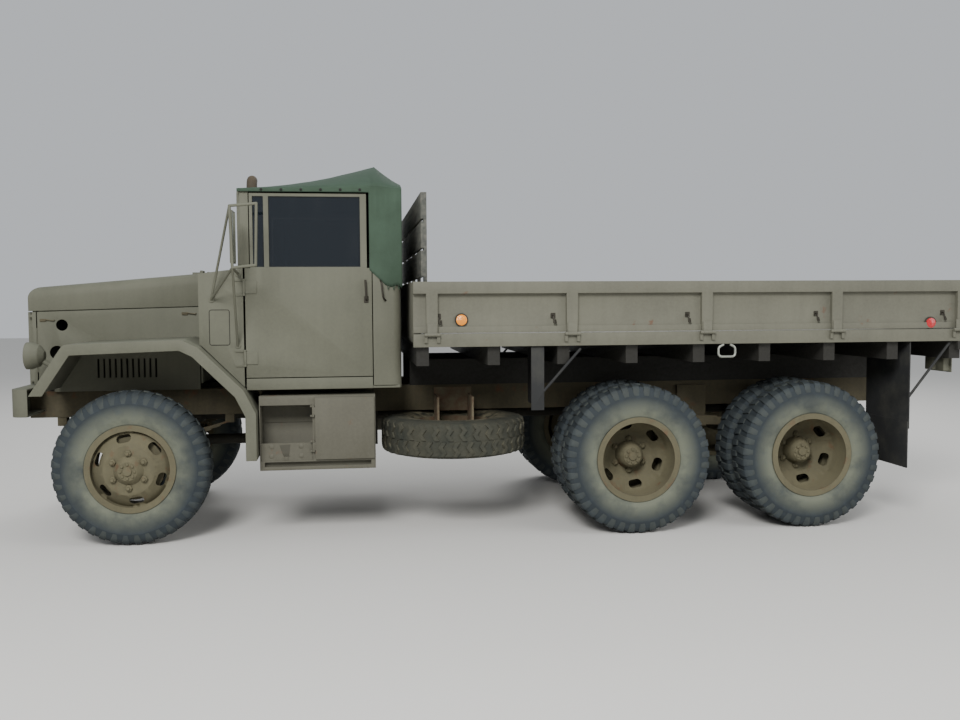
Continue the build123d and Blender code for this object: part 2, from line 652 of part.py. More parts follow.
HOOD_HINGE_B = FIREWALL
HOOD_HINGES = (-330, 0, 330)
with BuildPart() as hood_with_hinges:
    add(hood.part)
    for place in HOOD_HINGES:
        round_bar((behind(HOOD_HINGE_B), place - 30, HOOD_HINGE_Z),
                  (behind(HOOD_HINGE_B), place + 30, HOOD_HINGE_Z), HINGE_RADIUS)
        block(HOOD_HINGE_B - 60, HOOD_HINGE_B, place - 30, place + 30,
              HOOD_TOP_REAR - 6, HOOD_HINGE_Z - 4)
        round_bar((behind(HOOD_HINGE_B), place - 31, HOOD_HINGE_Z),
                  (behind(HOOD_HINGE_B), place + 31, HOOD_HINGE_Z), HINGE_PIN + SEAT_GAP,
                  mode=Mode.SUBTRACT)
write(hood_with_hinges, "hood")

# Cowl: firewall, toe boards and the panel under the windshield, one hollow pressing
COWL_TOP_FRONT = 1748
TOE_TOP = 1302
COWL_REAR = DOOR_FRONT - RUNNING_GAP
INSIDE = CAB_SHEET
with BuildPart() as cowl:
    for half, front, shrink, mode in (
        (CAB_HALF, COWL_FRONT, 0, Mode.ADD),
        (HOOD_HALF, FIREWALL, 0, Mode.ADD),
        (CAB_HALF - INSIDE, COWL_FRONT + INSIDE, INSIDE, Mode.SUBTRACT),
        (HOOD_HALF - INSIDE, FIREWALL + INSIDE, INSIDE, Mode.SUBTRACT),
    ):
        past = 20 if mode is Mode.SUBTRACT else 0
        floor_line = FLOOR_BOTTOM + FLOOR_THICK + SEAT_GAP + 1.4 * shrink - past
        outline = [
            (front, COWL_TOP_FRONT + (COWL_FRONT - front) / 10 - shrink),
            (COWL_REAR + past, BELT - shrink),
            (COWL_REAR + past, floor_line),
            (COWL_FRONT + shrink, TOE_TOP + shrink / 2),
        ]
        if half < CAB_HALF - INSIDE:
            outline.append((front, TOE_TOP + shrink / 2))
        with BuildSketch(side_plane(half)):
            with BuildLine():
                Polyline(side_view(outline), close=True)
            make_face()
        extrude(amount=2 * half, mode=mode)
    block(FIREWALL, FIREWALL + INSIDE, -HOOD_HALF, HOOD_HALF, 1010, TOE_TOP + 20)
    block(COWL_REAR - 12, COWL_REAR, -CAB_HALF + INSIDE, CAB_HALF - INSIDE, 1570, BELT - INSIDE)
    for side in (1, -1):
        for place in HOOD_HINGES:
            block(FIREWALL - 5, FIREWALL + 14, place + side * 31, place + side * 46,
                  HOOD_TOP_REAR - 16, HOOD_HINGE_Z + 8)
    for place in HOOD_HINGES:
        round_bar((behind(HOOD_HINGE_B), place - 40, HOOD_HINGE_Z),
                  (behind(HOOD_HINGE_B), place + 40, HOOD_HINGE_Z), HINGE_PIN)
    block(COWL_REAR - SHIELD_THICK, COWL_REAR, -SHIELD_HALF, SHIELD_HALF, BELT - INSIDE - 4, BELT)
    block(COWL_REAR - 4, DOOR_FRONT + 40, -CAB_HALF + SILL_WIDTH, CAB_HALF - SILL_WIDTH,
          FLOOR_BOTTOM + FLOOR_THICK + SEAT_GAP, FLOOR_BOTTOM + FLOOR_THICK + 8)
    round_bar(STEER_CENTRE - STEER_AXIS * COLUMN_LENGTH, STEER_CENTRE - STEER_AXIS * (HUB_HALF + SEAT_GAP),
              COLUMN_RADIUS)
    for side in (1, -1):
        for height in DOOR_HINGES:
            for low in (height - LEAF_HALF - SEAT_GAP - LUG_THICK, height + LEAF_HALF + SEAT_GAP):
                block(DOOR_FRONT - 60, DOOR_FRONT, side * CAB_HALF, side * (CAB_HALF + 6),
                      low, low + LUG_THICK)
                with Locations((behind(DOOR_FRONT), side * DOOR_HINGE_Y, low + LUG_THICK / 2)):
                    Cylinder(DOOR_HINGE_RADIUS, LUG_THICK)
            with Locations((behind(DOOR_FRONT), side * DOOR_HINGE_Y, height)):
                Cylinder(HINGE_PIN, 2 * (LEAF_HALF + LUG_THICK))
write(cowl, "cowl")

# Cab floor with its side sills and the two seat boxes
SEAT_FRONT = 1130
SEAT_REAR = 1560
SEAT_BOX_TOP = 1330
DRIVER_SEAT = (180, 680)
COMPANION_SEAT = (-800, -60)
FLOOR_FRONT = DOOR_FRONT + 6
with BuildPart() as cab_floor:
    block(FLOOR_FRONT, CAB_REAR - CAB_SHEET, -CAB_HALF + CAB_SHEET, CAB_HALF - CAB_SHEET,
          FLOOR_BOTTOM, FLOOR_BOTTOM + FLOOR_THICK)
    block(COWL_REAR - 110, FLOOR_FRONT + 12, -HOOD_HALF + 4, HOOD_HALF - 4,
          FLOOR_BOTTOM, FLOOR_BOTTOM + FLOOR_THICK)
    for side in (1, -1):
        block(FLOOR_FRONT, DOOR_REAR, side * (CAB_HALF - SILL_WIDTH), side * CAB_HALF,
              FLOOR_BOTTOM, SILL_TOP)
        for place in (SEAT_REAR + 60, 820):
            block(place - 50, place + 50, side * (FRAME_HALF - 60), side * FRAME_HALF,
                  FRAME_TOP, FLOOR_BOTTOM)
    for near, far in (DRIVER_SEAT, COMPANION_SEAT):
        block(SEAT_FRONT + 20, SEAT_REAR - 20, near + 20, far - 20,
              FLOOR_BOTTOM + FLOOR_THICK, SEAT_BOX_TOP)
write(cab_floor, "cab_floor")

# Seat cushions and backs
CUSHION_THICK = 110
BACK_TOP = 1950
BACK_THICK = 110
with BuildPart() as seats:
    for near, far in (DRIVER_SEAT, COMPANION_SEAT):
        cushion_top = SEAT_BOX_TOP + SEAT_GAP + CUSHION_THICK
        block(SEAT_FRONT, SEAT_REAR, near, far, SEAT_BOX_TOP + SEAT_GAP, cushion_top)
        block(SEAT_REAR - 20, SEAT_REAR - 20 + BACK_THICK, near, far, cushion_top + SEAT_GAP, BACK_TOP)
    fillet(seats.edges(), radius=24)
write(seats, "seats")

# Back of the cab: rear wall and the two quarter panels, with rounded corners
QUARTER_TOP = 1690
CORNER_RADIUS = 60
with BuildPart() as cab_back:
    with BuildSketch(Plane.XY.offset(FLOOR_BOTTOM)):
        with BuildLine():
            FilletPolyline(
                (behind(DOOR_REAR + RUNNING_GAP), CAB_HALF), (behind(CAB_REAR), CAB_HALF),
                (behind(CAB_REAR), -CAB_HALF), (behind(DOOR_REAR + RUNNING_GAP), -CAB_HALF),
                radius=CORNER_RADIUS)
            offset(amount=CAB_SHEET, side=Side.LEFT)
        make_face()
    extrude(amount=BELT - FLOOR_BOTTOM)
    with BuildSketch(side_plane(CAB_HALF + 1)):
        with BuildLine():
            Polyline(side_view((
                (DOOR_REAR + 8, BELT + 1), (DOOR_REAR + 100, QUARTER_TOP),
                (CAB_REAR + 1, QUARTER_TOP), (CAB_REAR + 1, BELT + 1))), close=True)
        make_face()
    extrude(amount=2 * CAB_HALF + 2, mode=Mode.SUBTRACT)
    block(DOOR_REAR, CAB_REAR - CAB_SHEET, -CAB_HALF - 1, CAB_HALF + 1, FLOOR_BOTTOM - 1,
          FLOOR_BOTTOM + FLOOR_THICK, mode=Mode.SUBTRACT)
    for near, far in (DRIVER_SEAT, COMPANION_SEAT):
        block(SEAT_REAR - 20 + BACK_THICK + SEAT_GAP, CAB_REAR - CAB_SHEET / 2, near + 60, far - 60,
              1560, 1600)
write(cab_back, "cab_back")

# Windshield: one upright frame with a middle post and two panes
pane_width = SHIELD_HALF - 1.5 * SHIELD_BAR
pane_middle = (SHIELD_HALF - SHIELD_BAR + SHIELD_BAR / 2) / 2
pane_height = SHIELD_TOP - BELT - 2 * SHIELD_BAR
with BuildPart() as windshield_frame:
    with BuildSketch(cross_plane(COWL_REAR)):
        with Locations((0, (SHIELD_TOP + BELT + SEAT_GAP) / 2)):
            RectangleRounded(2 * SHIELD_HALF, SHIELD_TOP - BELT - SEAT_GAP, 30)
            with Locations((pane_middle, 0), (-pane_middle, 0)):
                RectangleRounded(pane_width, pane_height, 20, mode=Mode.SUBTRACT)
    extrude(amount=SHIELD_THICK)
    for side in (1, -1):
        block(POST_FRONT, WINDOW_FRONT - RUNNING_GAP, side * (SHIELD_HALF - SHIELD_BAR),
              side * (CAB_HALF - 8), BELT + RUNNING_GAP, SHIELD_TOP)
write(windshield_frame, "windshield_frame")
with BuildPart() as windshield_glass:
    with BuildSketch(cross_plane(COWL_REAR - SHIELD_THICK / 2 + GLASS_THICK / 2)):
        with Locations((pane_middle, (SHIELD_TOP + BELT) / 2), (-pane_middle, (SHIELD_TOP + BELT) / 2)):
            RectangleRounded(pane_width - 2 * SEAT_GAP, pane_height - 2 * SEAT_GAP, 20)
    extrude(amount=GLASS_THICK)
write(windshield_glass, "windshield_glass")

# Doors: lower panel, window frame with a fixed front light, and outside hinges
FRAME_BAR = 42
LIGHT_BAR = 880             # middle of the bar between the two panes
DOOR_BOTTOM = SILL_TOP + RUNNING_GAP
DOOR_FRAME_THICK = 30
with BuildPart() as door:
    block(DOOR_FRONT + RUNNING_GAP, DOOR_REAR, CAB_HALF - DOOR_THICK, CAB_HALF, DOOR_BOTTOM, BELT)
    block(WINDOW_FRONT, DOOR_REAR - 30, CAB_HALF - DOOR_FRAME_THICK - 8, CAB_HALF - 8,
          BELT, WINDOW_TOP)
    for front, rear in ((WINDOW_FRONT + 20, LIGHT_BAR - 16), (LIGHT_BAR + 16, DOOR_REAR - 30 - FRAME_BAR)):
        block(front, rear, CAB_HALF - DOOR_THICK, CAB_HALF, BELT + 8, WINDOW_TOP - 20, mode=Mode.SUBTRACT)
    for height in DOOR_HINGES:
        with BuildSketch(Plane.XY.offset(height - LEAF_HALF)) as leaf:
            with Locations((behind(DOOR_FRONT), DOOR_HINGE_Y)):
                Circle(DOOR_HINGE_RADIUS)
            with Locations((behind(DOOR_FRONT + 40), CAB_HALF + 3)):
                Rectangle(80, 6)
        extrude(leaf.sketch, amount=2 * LEAF_HALF)
        with Locations((behind(DOOR_FRONT), DOOR_HINGE_Y, height)):
            Cylinder(HINGE_PIN + SEAT_GAP, 3 * LEAF_HALF, mode=Mode.SUBTRACT)
write_pair(door, "door")
with BuildPart() as door_glass:
    for front, rear in ((WINDOW_FRONT + 20, LIGHT_BAR - 16), (LIGHT_BAR + 16, DOOR_REAR - 30 - FRAME_BAR)):
        block(front + SEAT_GAP, rear - SEAT_GAP, CAB_HALF - 26, CAB_HALF - 20,
              BELT + 8 + SEAT_GAP, WINDOW_TOP - 20 - SEAT_GAP)
write_pair(door_glass, "door_glass")

# Canvas top over three bows: roof, rear curtain and the quarters behind the doors
CANVAS_THICK = 12
CANVAS_HALF = CAB_HALF + CANVAS_THICK + SEAT_GAP
CANVAS_SECTIONS = (         # distance behind the front axle, height at the edge, at the middle
    (700, 2292, 2345),
    (1590, 2316, 2551),
    (CAB_REAR + CANVAS_THICK + SEAT_GAP, 2300, 2410),
)
with BuildPart() as canvas_top:
    for shrink, mode in ((0, Mode.ADD), (CANVAS_THICK, Mode.SUBTRACT)):
        sections = []
        for distance, edge, crown in CANVAS_SECTIONS:
            place = distance - shrink if distance > CAB_REAR else distance
            half = CANVAS_HALF - shrink
            low = QUARTER_TOP - 40 - shrink
            with BuildSketch(cross_plane(place)) as section:
                with BuildLine():
                    Line((-half, low), (half, low))
                    Line((half, low), (half, edge - shrink))
                    ThreePointArc((half, edge - shrink), (0, crown - shrink), (-half, edge - shrink))
                    Line((-half, edge - shrink), (-half, low))
                make_face()
            sections.append(section.sketch)
        loft(sections, ruled=True, mode=mode)
    block(690, DOOR_REAR - 20, -CANVAS_HALF - 1, CANVAS_HALF + 1, 1600, WINDOW_TOP + RUNNING_GAP,
          mode=Mode.SUBTRACT)
    block(DOOR_REAR - 21, DOOR_REAR + 110, -CANVAS_HALF - 1, CANVAS_HALF + 1, 1600, QUARTER_TOP + 100,
          mode=Mode.SUBTRACT)
write(canvas_top, "canvas_top")

# Steering wheel on its raked column
STEER_RADIUS = 225
with BuildPart() as steering_wheel:
    tilt = Plane(origin=STEER_CENTRE, x_dir=(0, 1, 0), z_dir=STEER_AXIS)
    with BuildSketch(Plane(origin=STEER_CENTRE, x_dir=tilt.x_dir, z_dir=tilt.y_dir)):
        with Locations((STEER_RADIUS, 0)):
            Circle(12)
    revolve(axis=Axis(STEER_CENTRE, STEER_AXIS))
    with BuildSketch(tilt.offset(-HUB_HALF)):
        Circle(32)
        with PolarLocations(0, 3):
            with Locations((STEER_RADIUS / 2, 0)):
                Rectangle(STEER_RADIUS - 8, 22)
    extrude(amount=2 * HUB_HALF)
write(steering_wheel, "steering_wheel")

# Exhaust stack behind the right fender, with its elbow from the engine bay
STACK_BEHIND = 603
STACK_Y = -1040
STACK_RADIUS = 44
STACK_WALL = 4
STACK_BOTTOM = 1200
STACK_BEND = 2530           # above this the pipe turns outwards
STACK_BEND_RADIUS = 65
STACK_TURN = 75
STACK_CLAMPS = (1240, 1700)
GUARD_BOTTOM = 1360
GUARD_LENGTH = 700
with BuildPart() as exhaust_stack:
    with BuildSketch(Plane.XY.offset(STACK_BOTTOM)) as ring:
        with Locations((behind(STACK_BEHIND), STACK_Y)):
            Circle(STACK_RADIUS)
            Circle(STACK_RADIUS - STACK_WALL, mode=Mode.SUBTRACT)
    extrude(ring.sketch, amount=STACK_BEND - STACK_BOTTOM)
    bend_axis = Axis((0, STACK_Y - STACK_BEND_RADIUS, STACK_BEND), (1, 0, 0))
    revolve(Pos(0, 0, STACK_BEND - STACK_BOTTOM) * ring.sketch, axis=bend_axis, revolution_arc=STACK_TURN)
    with BuildSketch(Plane.XY.offset(GUARD_BOTTOM)) as guard:
        with Locations((behind(STACK_BEHIND), STACK_Y)):
            Circle(STACK_RADIUS + 6)
            Circle(STACK_RADIUS - 2, mode=Mode.SUBTRACT)
    extrude(guard.sketch, amount=GUARD_LENGTH)
    for height in STACK_CLAMPS:
        block(STACK_BEHIND - 20, STACK_BEHIND + 20, -CAB_HALF - SEAT_GAP, STACK_Y + STACK_RADIUS - 2,
              height, height + 40)
write(exhaust_stack, "exhaust_stack")

# Air cleaner on the right fender
CLEANER_BEHIND = 60
CLEANER_Y = -770
CLEANER_RADIUS = 160
with BuildPart() as air_cleaner:
    with BuildSketch(side_plane(0)) as half_section:
        with BuildLine():
            Polyline((behind(CLEANER_BEHIND), 1340), (behind(CLEANER_BEHIND) + 100, 1340),
                     (behind(CLEANER_BEHIND) + CLEANER_RADIUS, 1380),
                     (behind(CLEANER_BEHIND) + CLEANER_RADIUS, 1640),
                     (behind(CLEANER_BEHIND) + 120, 1690), (behind(CLEANER_BEHIND), 1700), close=True)
        make_face()
    revolve(half_section.sketch, axis=Axis((behind(CLEANER_BEHIND), 0, 0), (0, 0, 1)))
    moved_cleaner = air_cleaner.part.moved(Location((0, CLEANER_Y, 0)))
with BuildPart() as air_cleaner_on_fender:
    add(moved_cleaner)
    block(CLEANER_BEHIND - 30, CLEANER_BEHIND + 30, CLEANER_Y, -HOOD_HALF - SEAT_GAP, 1480, 1560)
    block(CLEANER_BEHIND - 60, CLEANER_BEHIND + 60, CLEANER_Y - 60, CLEANER_Y + 60, 1324.2, 1360)
write(air_cleaner_on_fender, "air_cleaner")

# Boxes under the cab: battery box on the right, tool box with its own door on the left
BOX_FRONT = 816
BOX_INNER = 620
BOX_OUTER = 1000
BOX_BOTTOM = 527
BOX_TOP = 957
BOX_SHEET = 6
BOX_SEAM = 1161
BOX_REAR = 1562
STEP_DROP = 54
STEP_DEPTH = 200
BOX_DOOR_THICK = 16
with BuildPart() as toolbox:
    block(BOX_FRONT, BOX_REAR, BOX_INNER, BOX_OUTER, BOX_BOTTOM, BOX_TOP)
    block(BOX_FRONT + BOX_SHEET, BOX_SEAM - BOX_SHEET, BOX_INNER + BOX_SHEET, BOX_OUTER + 1,
          BOX_BOTTOM + 250, BOX_TOP - 60, mode=Mode.SUBTRACT)
    block(BOX_FRONT + BOX_SHEET, BOX_SEAM - BOX_SHEET, BOX_OUTER - STEP_DEPTH, BOX_OUTER + 1,
          BOX_BOTTOM + BOX_SHEET, BOX_TOP - 60, mode=Mode.SUBTRACT)
    block(BOX_SEAM + BOX_SHEET, BOX_REAR - BOX_SHEET, BOX_INNER + BOX_SHEET, BOX_OUTER - BOX_SHEET,
          BOX_BOTTOM + BOX_SHEET, BOX_TOP - BOX_SHEET, mode=Mode.SUBTRACT)
    block(BOX_SEAM + 20, BOX_REAR - 20, BOX_OUTER - 2 * BOX_SHEET, BOX_OUTER + 1,
          BOX_BOTTOM + 24, BOX_TOP - 24, mode=Mode.SUBTRACT)
    for place in (BOX_FRONT + 30, BOX_SEAM + 60, BOX_REAR - 90):
        block(place, place + 40, FRAME_HALF + SEAT_GAP, BOX_INNER + 20, 860, 900)
    for place in (BOX_FRONT, BOX_REAR - 30):
        block(place, place + 30, BOX_OUTER - 40, BOX_OUTER, BOX_BOTTOM - STEP_DROP, BOX_BOTTOM + 2)
    block(BOX_FRONT, BOX_REAR, BOX_OUTER - 40, BOX_OUTER, BOX_BOTTOM - STEP_DROP,
          BOX_BOTTOM - STEP_DROP + 23)
    for height in (BOX_BOTTOM + 100, BOX_TOP - 100):
        for low in (height - 25 - SEAT_GAP - 12, height + 25 + SEAT_GAP):
            block(BOX_SEAM - 20, BOX_SEAM, BOX_OUTER - 10, BOX_OUTER + 10, low, low + 12)
            with Locations((behind(BOX_SEAM), BOX_OUTER + 10, low + 6)):
                Cylinder(8, 12)
        with Locations((behind(BOX_SEAM), BOX_OUTER + 10, height)):
            Cylinder(HINGE_PIN, 74)
write(toolbox, "toolbox")
with BuildPart() as toolbox_door:
    block(BOX_SEAM + 12, BOX_REAR - 8, BOX_OUTER + 2, BOX_OUTER + BOX_DOOR_THICK,
          BOX_BOTTOM + 14, BOX_TOP - 12)
    for height in (BOX_BOTTOM + 100, BOX_TOP - 100):
        with BuildSketch(Plane.XY.offset(height - 25)) as leaf:
            with Locations((behind(BOX_SEAM), BOX_OUTER + 10)):
                Circle(8)
            with Locations((behind(BOX_SEAM + 15), BOX_OUTER + 10)):
                Rectangle(30, 10)
        extrude(leaf.sketch, amount=50)
        with Locations((behind(BOX_SEAM), BOX_OUTER + 10, height)):
            Cylinder(HINGE_PIN + SEAT_GAP, 80, mode=Mode.SUBTRACT)
write(toolbox_door, "toolbox_door")
with BuildPart() as battery_box:
    block(BOX_FRONT, BOX_SEAM + 40, -BOX_OUTER, -BOX_INNER, BOX_BOTTOM, BOX_TOP)
    block(BOX_FRONT + 10, BOX_SEAM + 30, -BOX_OUTER - 12, -BOX_OUTER, BOX_BOTTOM + 12, BOX_TOP - 12)
    for place in (BOX_FRONT + 30, BOX_SEAM - 60):
        block(place, place + 40, -BOX_INNER - 20, -FRAME_HALF - SEAT_GAP, 860, 900)
    for place in (BOX_FRONT, BOX_SEAM + 10):
        block(place, place + 30, -BOX_OUTER, -BOX_OUTER + 40, BOX_BOTTOM - STEP_DROP, BOX_BOTTOM + 2)
    block(BOX_FRONT, BOX_SEAM + 40, -BOX_OUTER, -BOX_OUTER + 40, BOX_BOTTOM - STEP_DROP,
          BOX_BOTTOM - STEP_DROP + 23)
write(battery_box, "battery_box")

# Fuel tank on the right rail and the two air reservoirs inside the left rail
TANK_FRONT = 1270
TANK_REAR = 1960
TANK_MIDDLE = (-760, 710)
TANK_SIZE = (460, 400)
RESERVOIR_RADIUS = 110
RESERVOIR_ENDS = (2030, 2700)
RESERVOIR_Y = -620
RESERVOIR_Z = 660
with BuildPart() as tanks:
    with BuildSketch(cross_plane(TANK_REAR)) as section:
        with Locations(TANK_MIDDLE):
            RectangleRounded(*TANK_SIZE, 90)
    extrude(section.sketch, amount=TANK_REAR - TANK_FRONT)
    for place in (TANK_FRONT + 90, TANK_REAR - 150):
        block(place, place + 50, TANK_MIDDLE[0], -FRAME_HALF - SEAT_GAP, TANK_MIDDLE[1] + 120,
              TANK_MIDDLE[1] + TANK_SIZE[1] / 2 + 8)
        block(place, place + 50, TANK_MIDDLE[0] + TANK_SIZE[0] / 2 - 20, -FRAME_HALF - SEAT_GAP,
              FRAME_BOTTOM + 10, TANK_MIDDLE[1] + TANK_SIZE[1] / 2 + 8)
    with Locations((behind(TANK_FRONT + 120), TANK_MIDDLE[0] - 100, TANK_MIDDLE[1] + TANK_SIZE[1] / 2 + 10)):
        Cylinder(52, 60)
    round_bar(*[(behind(end), RESERVOIR_Y, RESERVOIR_Z) for end in RESERVOIR_ENDS], RESERVOIR_RADIUS)
    for place in (RESERVOIR_ENDS[0] + 90, RESERVOIR_ENDS[1] - 130):
        block(place, place + 40, RESERVOIR_Y, -FRAME_HALF - SEAT_GAP, RESERVOIR_Z + 70, FRAME_BOTTOM + 60)
write(tanks, "tanks")

# Spare wheel lying flat under the bed on a hinged plate's fixed carrier
SPARE_BEHIND = 2112
SPARE_Y = 640
SPARE_BOTTOM = 525
with BuildPart() as spare_tyre:
    with BuildSketch(side_plane(SPARE_Y)) as half_section:
        with BuildLine():
            low, high, x = SPARE_BOTTOM, SPARE_BOTTOM + TYRE_WIDTH, behind(SPARE_BEHIND)
            middle = (low + high) / 2
            Polyline((x + 284, low + 30), (x + 380, low), (x + 470, low + 18), (x + TYRE_RADIUS, middle),
                     (x + 470, high - 18), (x + 380, high), (x + 284, high - 30),
                     (x + BEAD_RADIUS, high - 37), (x + BEAD_RADIUS, low + 37), close=True)
        make_face()
    revolve(half_section.sketch, axis=Axis((behind(SPARE_BEHIND), SPARE_Y, 0), (0, 0, 1)))
write(spare_tyre, "spare_tyre")
with BuildPart() as spare_carrier:
    with BuildSketch(Plane.XY.offset(SPARE_BOTTOM + 38)) as barrel:
        with Locations((behind(SPARE_BEHIND), SPARE_Y)):
            Circle(BEAD_RADIUS - SEAT_GAP)
            Circle(BEAD_RADIUS - SEAT_GAP - RIM_SHEET, mode=Mode.SUBTRACT)
    extrude(barrel.sketch, amount=TYRE_WIDTH - 76)
    with BuildSketch(Plane.XY.offset(SPARE_BOTTOM + 150)) as disc:
        with Locations((behind(SPARE_BEHIND), SPARE_Y)):
            Circle(BEAD_RADIUS - 4)
            Circle(82, mode=Mode.SUBTRACT)
            with PolarLocations(HAND_HOLE_CIRCLE, HAND_HOLES):
                Circle(26, mode=Mode.SUBTRACT)
    extrude(disc.sketch, amount=DISC_THICK)
    block(SPARE_BEHIND - 115, SPARE_BEHIND + 154, SPARE_Y - 90, SPARE_Y + 90,
          SPARE_BOTTOM + 158, SPARE_BOTTOM + 170)
    for place in (SPARE_BEHIND - 115, SPARE_BEHIND + 126):
        block(place, place + 14, FRAME_HALF + SEAT_GAP, SPARE_Y + 60, SPARE_BOTTOM + 158, 900)
    block(SPARE_BEHIND - 115, SPARE_BEHIND + 154, FRAME_HALF + SEAT_GAP, FRAME_HALF + 14,
          SPARE_BOTTOM + TYRE_WIDTH + 4, 950)
write(spare_carrier, "spare_carrier")

# Bed: sills on the frame, deck on its cross bars, edge rails all round
SILL_INNER = FRAME_HALF - FRAME_FLANGE
CROSSBARS = 9
CROSSBAR_WIDTH = 80
EDGE_HALF = 1212
EDGE_WIDTH = 62
crossbar_pitch = (BED_REAR - BED_FRONT - 120) / (CROSSBARS - 1)
SIDE_HINGE_Y = 1232
SIDE_HINGE_Z = 1350
SIDE_HINGE_RADIUS = 11
SIDE_INNER = 1165
SIDE_OUTER = 1220
SIDE_BOTTOM = EDGE_TOP + RUNNING_GAP
POSTS = 5
post_pitch = (BED_REAR - BED_FRONT - 156) / (POSTS - 1)
post_places = [BED_FRONT + 118 + index * post_pitch for index in range(POSTS)]
SIDE_LEAF_HALF = 30
SIDE_LUG = 20
GATE_HINGE_B = BED_REAR + RUNNING_GAP + TAILGATE_THICK / 2
GATE_HINGE_Z = 1338
GATE_HINGE_RADIUS = 10
GATE_HINGES = (-900, -300, 300, 900)
GATE_LEAF_HALF = 40
with BuildPart() as bed_deck:
    block(BED_FRONT, BED_REAR, -EDGE_HALF, EDGE_HALF, DECK_TOP - DECK_THICK, DECK_TOP)
    block(BED_FRONT, STRIP_REAR, EDGE_WIDTH - EDGE_HALF, EDGE_HALF - EDGE_WIDTH, STRIP_TOP, DECK_TOP,
          mode=Mode.SUBTRACT)
    for index in range(CROSSBARS):
        place = BED_FRONT + 60 + index * crossbar_pitch
        block(place - CROSSBAR_WIDTH / 2, place + CROSSBAR_WIDTH / 2, -EDGE_HALF + 40, EDGE_HALF - 40,
              CROSSBAR_BOTTOM, DECK_TOP - DECK_THICK)
    for side in (1, -1):
        block(BED_FRONT + 20, BED_REAR - 20, side * SILL_INNER, side * FRAME_HALF,
              FRAME_TOP + SEAT_GAP, CROSSBAR_BOTTOM)
        block(BED_FRONT, BED_REAR, side * (EDGE_HALF - EDGE_WIDTH), side * EDGE_HALF,
              EDGE_BOTTOM, EDGE_TOP)
        for place in post_places[:-1] + [post_places[-1] - 20]:
            for middle in (place - SIDE_LEAF_HALF - SEAT_GAP - SIDE_LUG / 2,
                           place + SIDE_LEAF_HALF + SEAT_GAP + SIDE_LUG / 2):
                block(middle - SIDE_LUG / 2, middle + SIDE_LUG / 2, side * EDGE_HALF,
                      side * (SIDE_HINGE_Y - 4), SIDE_HINGE_Z - 50, SIDE_HINGE_Z)
                round_bar((behind(middle - SIDE_LUG / 2), side * SIDE_HINGE_Y, SIDE_HINGE_Z),
                          (behind(middle + SIDE_LUG / 2), side * SIDE_HINGE_Y, SIDE_HINGE_Z),
                          SIDE_HINGE_RADIUS)
            reach = SIDE_LEAF_HALF + SIDE_LUG
            round_bar((behind(place - reach), side * SIDE_HINGE_Y, SIDE_HINGE_Z),
                      (behind(place + reach), side * SIDE_HINGE_Y, SIDE_HINGE_Z), HINGE_PIN)
    block(BED_REAR - EDGE_WIDTH, BED_REAR, -EDGE_HALF, EDGE_HALF, EDGE_BOTTOM - 60, EDGE_TOP)
    for middle in GATE_HINGES:
        for side in (1, -1):
            lug = middle + side * (GATE_LEAF_HALF + SEAT_GAP + SIDE_LUG / 2)
            block(BED_REAR - 10, GATE_HINGE_B, lug - SIDE_LUG / 2, lug + SIDE_LUG / 2,
                  GATE_HINGE_Z - GATE_HINGE_RADIUS, GATE_HINGE_Z + GATE_HINGE_RADIUS)
            round_bar((behind(GATE_HINGE_B), lug - SIDE_LUG / 2, GATE_HINGE_Z),
                      (behind(GATE_HINGE_B), lug + SIDE_LUG / 2, GATE_HINGE_Z), GATE_HINGE_RADIUS)
        reach = GATE_LEAF_HALF + SIDE_LUG
        round_bar((behind(GATE_HINGE_B), middle - reach, GATE_HINGE_Z),
                  (behind(GATE_HINGE_B), middle + reach, GATE_HINGE_Z), HINGE_PIN)
write(bed_deck, "bed_deck")
with BuildPart() as bed_front_wall:
    for depth, low in ((SIDE_SHEET, STRIP_TOP + SEAT_GAP), (50, SIDE_TOP - TOP_RAIL_HEIGHT)):
        block(BED_FRONT, BED_FRONT + depth, -EDGE_HALF + EDGE_WIDTH + 2, EDGE_HALF - EDGE_WIDTH - 2,
              low, SIDE_TOP)
    for place in (-1100, -550, 0, 550, 1100):
        block(BED_FRONT, BED_FRONT + 50, place - 35, place + 35, STRIP_TOP + SEAT_GAP, SIDE_TOP)
write(bed_front_wall, "bed_front_wall")

# Wooden rack standing inside the front wall: five stakes and three boards
RACK_FRONT = 1861
RACK_REAR = 1899
RACK_TOP = 2258
with BuildPart() as front_rack:
    for place in (-1110, -555, 0, 555, 1110):
        block(RACK_FRONT + 18, RACK_REAR, place - 40, place + 40, STRIP_TOP + SEAT_GAP, RACK_TOP)
    for low in (1720, 1905, 2090):
        block(RACK_FRONT, RACK_FRONT + 20, -1150, 1150, low, low + 168)
write(front_rack, "front_rack")

